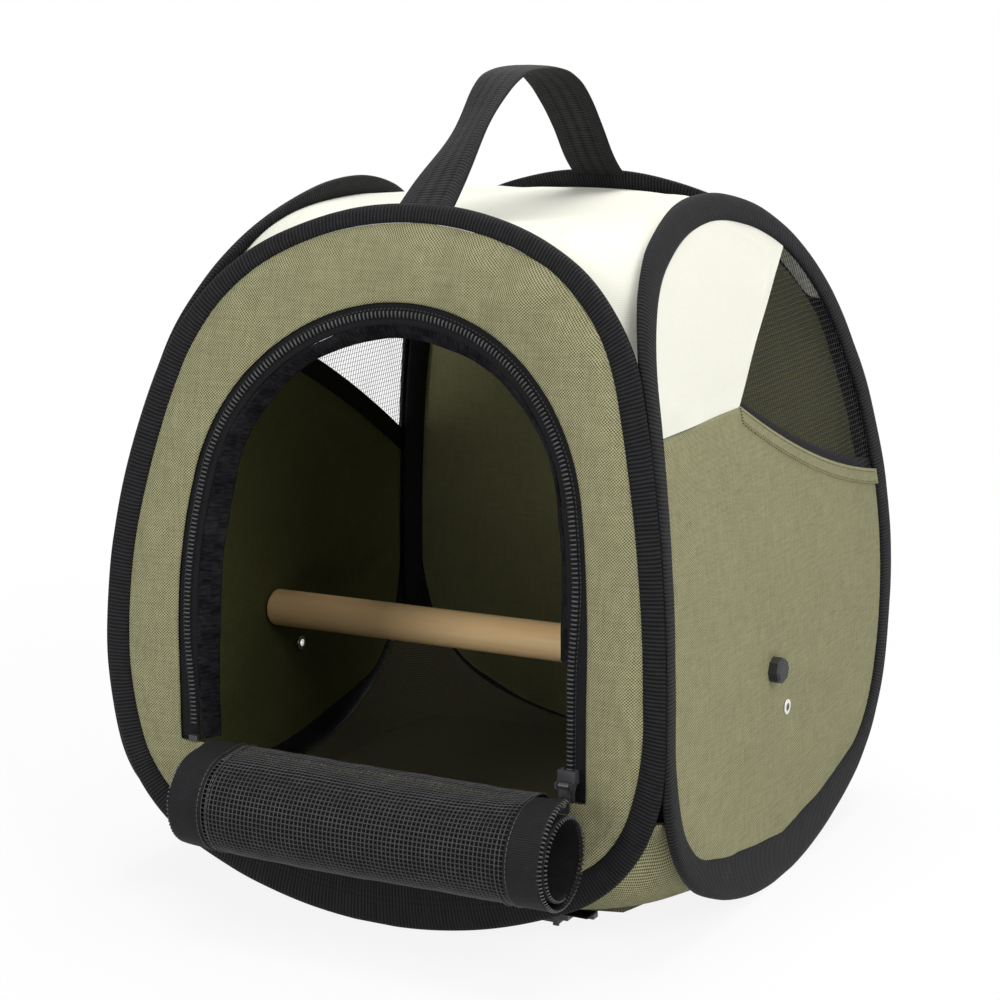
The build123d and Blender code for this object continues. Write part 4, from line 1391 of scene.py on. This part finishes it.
def zip_place(u, v):
    inset = ZIP_OUTER + (ZIP_INNER - ZIP_OUTER) * v
    flat = arch.at(arch.length * u, inset)
    points = on_wall(flat[:, 0], np.maximum(flat[:, 1], 72.3 * MM), 3.75 * MM)
    return pushed(points, "front", soft_noise(points, 22 * MM, 3.0) * 0.1 * MM)


tape = laid("door_tape", 300, 8, zip_place, (arch.length, ZIP_INNER - ZIP_OUTER))
thickened(tape, 0.7 * MM)
sewn(tape, zip_cloth, stands_for=["door_zip_tape"])


def loop_shape(name, wide, high, thick):
    """One loop of the coil: a bar bent over, wide across the tape."""
    bpy.ops.object.select_all(action="DESELECT")
    bpy.ops.mesh.primitive_cylinder_add(vertices=8, radius=thick / 2, depth=wide,
                                        rotation=(math.pi / 2, 0, 0))
    loop = bpy.context.object
    loop.name = name
    bpy.ops.object.transform_apply(location=False, rotation=True, scale=False)
    bpy.ops.object.mode_set(mode="EDIT")
    for cut in (wide * 0.25, -wide * 0.25):
        bpy.ops.mesh.select_all(action="SELECT")
        bpy.ops.mesh.bisect(plane_co=(0, cut, 0), plane_no=(0, 1, 0))
    bpy.ops.object.mode_set(mode="OBJECT")
    for v in loop.data.vertices:
        v.co.z += (high - thick) / 2 * (1 - 2 * (2 * abs(v.co.y) / wide) ** 2)
    return loop


COIL_PITCH, COIL_THREAD = 2.0 * MM, 0.80 * MM


def coil_along(name, line, out, body, stands_for=(), wide=3.0 * MM, high=1.3 * MM):
    """A zip's coil along a line. Out says which way its loops stand."""
    where, along = spaced(line, COIL_PITCH)
    loop = loop_shape(name + "_loop", wide, high, COIL_THREAD)
    row = repeated(name, loop, where, along, resampled(out, len(where)))
    return sewn(row, coil_nylon, body, stands_for)


d = np.linspace(6.9 * MM, arch.length - 6.9 * MM, 900)
near_end = np.clip(np.minimum(d - 55 * MM, arch.length - 12 * MM - d) / (45 * MM), 0, 1)
coil_inset = 7.25 * MM - 2.5 * MM * near_end * near_end * (3 - 2 * near_end)
flat = arch.at(d, coil_inset)
coil_line = on_wall(flat[:, 0], flat[:, 1], 2.0 * MM)
outwards = np.tile([0.0, -1.0, 0.0], (len(d), 1))
coil_along("door_coil", coil_line, outwards, "shell", ["door_zip_coil"])
flat = arch.at(d, coil_inset - 2.2 * MM)
thread_line = on_wall(flat[:, 0], flat[:, 1], 3.1 * MM)
stitch_row("door_coil_thread", thread_line, OUTWARD["front"], stitch_black,
           pitch=COIL_PITCH, long=1.2 * MM, thick=0.6 * MM)


def edging_place(u, v):
    """A thick leaning lip round the opening, uneven along its length."""
    start, end = 60 * MM, arch.length - 1 * MM
    t = 2 * math.pi * v
    c, s = squared(np.cos(t), 0.7), squared(np.sin(t), 0.7)
    d = start + (end - start) * u
    lean = 3.2 * MM + 0.8 * MM * np.sin(d / (31 * MM))
    inset = 12.6 * MM + c * 0.9 * MM + s * lean
    depth = 7.9 * MM + s * 4.3 * MM
    flat = arch.at(d, inset + np.sin(d / (9 * MM)) * 0.25 * MM + np.sin(d / (3.7 * MM)) * 0.1 * MM)
    return on_wall(flat[:, 0], flat[:, 1], depth)


edge = laid("door_edging", 360, 20, edging_place, (0.5, 0.02), closed=True)
sewn(edge, edging, stands_for=["door_opening_lip"])
for zipper in ("door_zip", "base_zip"):
    for part in ("stops", "slider", "pull"):
        dressed(nodes[f"{zipper}_{part}"], slider_enamel)
print("zip ready")

# %% [markdown]
# ## Rolled door
# The door is a net with a plain band down each side, and the other half of the zip on
# the bands' edges. Rolled down, it leaves the sill, lies over the roll and winds in
# on itself. Winding a cloth by simulation is slow and seldom ends tidy, so one curve
# gives that path, and band, net and coil are all laid along it.


# %% The path of the wound door
ROLL_Y, ROLL_Z = -165.5 * MM, 54.6 * MM
ROLL_RADIUS, ROLL_PER_TURN, FLAP = 22.4 * MM, 21.2 * MM, 26 * MM


def bezier(a, b, c, d, t):
    return a * (1 - t) ** 3 + 3 * b * t * (1 - t) ** 2 + 3 * c * t * t * (1 - t) + d * t ** 3


def roll_path(s, x):
    """Y and Z a distance along the sheet, from the sill, at a place across the door."""
    share = (x + 80 * MM) / (185 * MM)
    size = 1 - 0.045 * np.exp(-share * 9) + 0.02 * np.sin(share * 7)
    sag = 1.2 * MM * np.sin(math.pi * np.clip(share, 0, 1))
    turn = np.maximum(s - FLAP, 0) / ROLL_PER_TURN
    lift = 3.4 * MM * np.clip((share - 0.72) / 0.28, 0, 1) ** 2
    radius = (ROLL_RADIUS - 0.62 * MM * turn) * size
    radius = radius + lift * np.clip(1 - turn / 2.4, 0, 1)
    y = ROLL_Y - radius * np.sin(turn)
    z = ROLL_Z - sag + radius * np.cos(turn)
    top_z = ROLL_Z - sag + ROLL_RADIUS * size + lift
    t = np.clip(s / FLAP, 0, 1)
    flap_y = bezier(-142.4 * MM, -148 * MM, -157 * MM, ROLL_Y, t)
    flap_z = bezier(72.2 * MM, 80 * MM, top_z + 0.3 * MM, top_z, t)
    return np.where(s < FLAP, flap_y, y), np.where(s < FLAP, flap_z, z)


def rolled(name, left, right, start, end, columns, rows, ripple=0.0, inner=0.0):
    """A stretch of the wound door between two places across it."""
    def place(u, v):
        x, s = left + (right - left) * v, start + (end - start) * u
        y, z = roll_path(s, x)
        away = np.stack([y - ROLL_Y, z - ROLL_Z], -1)
        away = away / np.maximum(np.linalg.norm(away, axis=-1, keepdims=True), 1e-6)
        bump = ripple * soft_noise(np.stack([x, y, z], -1), 13 * MM, 2.0) - inner
        return np.stack([x, y + bump * away[:, 0], z + bump * away[:, 1]], -1)
    return laid(name, columns, rows, place, (end - start, right - left))


cell = 2.1 * MM
net = rolled("door_net", -62.8 * MM, 88.0 * MM, 0, 62 * cell, 62, 72, 0.25 * MM)
netted(net, 0.75 * MM)
sewn(net, mesh_coating, "door", ["door_mesh"])
print("door net", len(net.data.polygons), "faces")

# %% The turns under the outer one, the bands and their zip
under = rolled("door_inner_turns", -62 * MM, 87.4 * MM, 20 * MM, 215 * MM, 150, 60, 0.2 * MM,
               1.5 * MM)
sewn(under, band_cloth, "door")
flap = rolled("door_flap_cloth", -62.8 * MM, 87.6 * MM, 0, 10 * MM, 12, 90, 0.0, -0.1 * MM)
sewn(flap, band_cloth, "door", ["door_flap"])


def away_from_roll(x, s):
    """Points of the wound sheet, and the way out of the roll there."""
    y, z = roll_path(s, x + 0 * s)
    return np.stack([0 * s + x, y, z], 1), np.stack([0 * s, y - ROLL_Y, z - ROLL_Z], 1)


# The right band starts past the slider, so that the roll can lift without meeting it.
for name, left, right, begin, long in (("left", -80, -63, 0, 226), ("right", 88, 105, 20, 232)):
    band = rolled(f"door_band_{name}_cloth", left * MM, right * MM, begin * MM, long * MM,
                  230, 12, 0.35 * MM, -0.25 * MM)
    thickened(band, 0.8 * MM)
    sewn(band, band_cloth, "door", [f"door_band_{name}"])
    outer_x, inner_x, toward = left * MM, right * MM, 1
    if name == "right":
        outer_x, inner_x, toward = inner_x, outer_x, -1
    line, away = away_from_roll(outer_x, np.linspace((begin + 3) * MM, (long - 4) * MM, 900))
    coil_along(f"door_edge_coil_{name}", line, away, "door", wide=2.6 * MM, high=1.7 * MM)
    for row, offset in enumerate((-1.4, 3.6)):
        x = inner_x + toward * offset * MM
        line, away = away_from_roll(x, np.linspace((begin + 2) * MM, 120 * MM, 400))
        away = away / np.linalg.norm(away, axis=1, keepdims=True)
        where, along = spaced(line + away * 0.75 * MM, 2.4 * MM)
        bar = bar_shape(f"bar_{name}_{row}", 1.8 * MM, 0.5 * MM, 0.45 * MM)
        out = resampled(away, len(where))
        stitches = repeated(f"door_stitches_{name}_{row}", bar, where, along, out)
        sewn(stitches, mesh_coating, "door", smooth=False)
print("door ready")

# %% [markdown]
# ## Carrying strap
# The strap is one length of herringbone webbing from the front hoop's top to the back
# hoop's, made as one closed tube. Webbing never hangs quite true, so it is twisted a little.


# %% Strap
STRAP_KNOTS = [
    (-91.0, 317.4), (-86.5, 320.6), (-80, 325.8), (-68, 335.5), (-54, 347.0), (-40, 357.6),
    (-27, 367.0), (-15, 372.6), (0, 374.5), (15, 375.0), (30, 372.0), (44, 364.5),
    (57, 353.5), (69, 341.0), (79, 328.0), (86.5, 320.6), (91.0, 317.4)]
STRAP_HALF = 14


def strap_path(steps=240):
    """A smooth line through the knots, in Y and Z, and its length."""
    knots = np.array(STRAP_KNOTS) * MM
    run = np.concatenate([[0], np.cumsum(np.hypot(*np.diff(knots, axis=0).T))])
    s = np.linspace(0, run[-1], steps)
    rough = np.stack([np.interp(s, run, knots[:, i]) for i in (0, 1)], 1)
    reach = 11
    kernel = np.hanning(2 * reach + 1)
    kernel /= kernel.sum()
    first, last = np.repeat(rough[:1], reach, 0), np.repeat(rough[-1:], reach, 0)
    padded = np.concatenate([first, rough, last])
    smooth = np.stack([np.convolve(padded[:, i], kernel, "valid") for i in (0, 1)], 1)
    return smooth, run[-1]


strap_line, strap_length = strap_path()


def strap_place(u, v):
    """The webbing's flat section, carried along the line, twisted and cupped."""
    t = u * (len(strap_line) - 1)
    index = np.arange(len(strap_line))
    y, z = (np.interp(t, index, strap_line[:, i]) for i in (0, 1))
    dy, dz = (np.interp(t, index, np.gradient(strap_line[:, i])) for i in (0, 1))
    size = np.hypot(dy, dz)
    ny, nz = -dz / size, dy / size
    a = 2 * math.pi * v
    x = squared(np.cos(a), 0.35) * STRAP_HALF * MM
    thick = squared(np.sin(a), 0.5) * 0.95 * MM
    twist = 0.40 * np.exp(-(((u - 0.25) / 0.15) ** 2)) + 0.12 * np.exp(-(((u - 0.72) / 0.10) ** 2))
    lift = x * np.sin(twist)
    x = x * np.cos(twist) * (1 - 0.08 * np.sin(math.pi * u))
    sag = (x / (STRAP_HALF * MM)) ** 2 * -0.8 * MM * np.sin(math.pi * u)
    cup = lift + sag + np.sin(u * 19) * 0.4 * MM
    shift = np.sin(u * math.pi * 2) * 0.8 * MM
    return np.stack([x + shift, y + ny * (thick + cup), z + nz * (thick + cup)], -1)


strap = laid("strap_webbing_piece", 260, 40, strap_place, (strap_length, 60 * MM), closed=True)
only(dressed(strap, webbing))
bpy.ops.object.shade_smooth()
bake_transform(strap)
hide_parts("strap_loop", "strap_tab_front", "strap_tab_back")
print("strap ready", round(strap_length, 3))

# %% [markdown]
# ## Perch, knobs and the zip under the base
# The perch is a plain turned rod of pale wood. Its CAD node has the right shape, so it
# only takes a finish, and so do the two faceted knobs that hold it through the walls.
# The zip under the base is straight, so its tape is a flat strip and its coil a row.

# %% Perch, knobs and the zip under the base
for name, finish in (("perch", pine), ("perch_knob_right", knob_plastic),
                     ("perch_knob_left", knob_plastic)):
    dressed(nodes[name], finish)

BASE_ZIP_Y, BASE_ZIP_LEFT, BASE_ZIP_RIGHT, BASE_ZIP_HALF = -104 * MM, -88 * MM, 92 * MM, 9 * MM


def base_zip_place(u, v):
    x = BASE_ZIP_LEFT + (BASE_ZIP_RIGHT - BASE_ZIP_LEFT) * u
    return np.stack([x, BASE_ZIP_Y + (2 * v - 1) * BASE_ZIP_HALF, 0 * x + 8.5 * MM], -1)


strip = laid("base_tape", 120, 10, base_zip_place,
             (BASE_ZIP_RIGHT - BASE_ZIP_LEFT, 2 * BASE_ZIP_HALF))
thickened(strip, 0.7 * MM)
sewn(strip, zip_cloth, stands_for=["base_zip_tape"])
x = np.linspace(-84, 88, 500) * MM
base_line = np.stack([x, 0 * x + BASE_ZIP_Y, 0 * x + 6.7 * MM], 1)
downwards = np.tile([0.0, 0.0, -1.0], (len(x), 1))
coil_along("base_coil", base_line, downwards, "shell", ["base_zip_coil"])
print("perch and base zip ready")
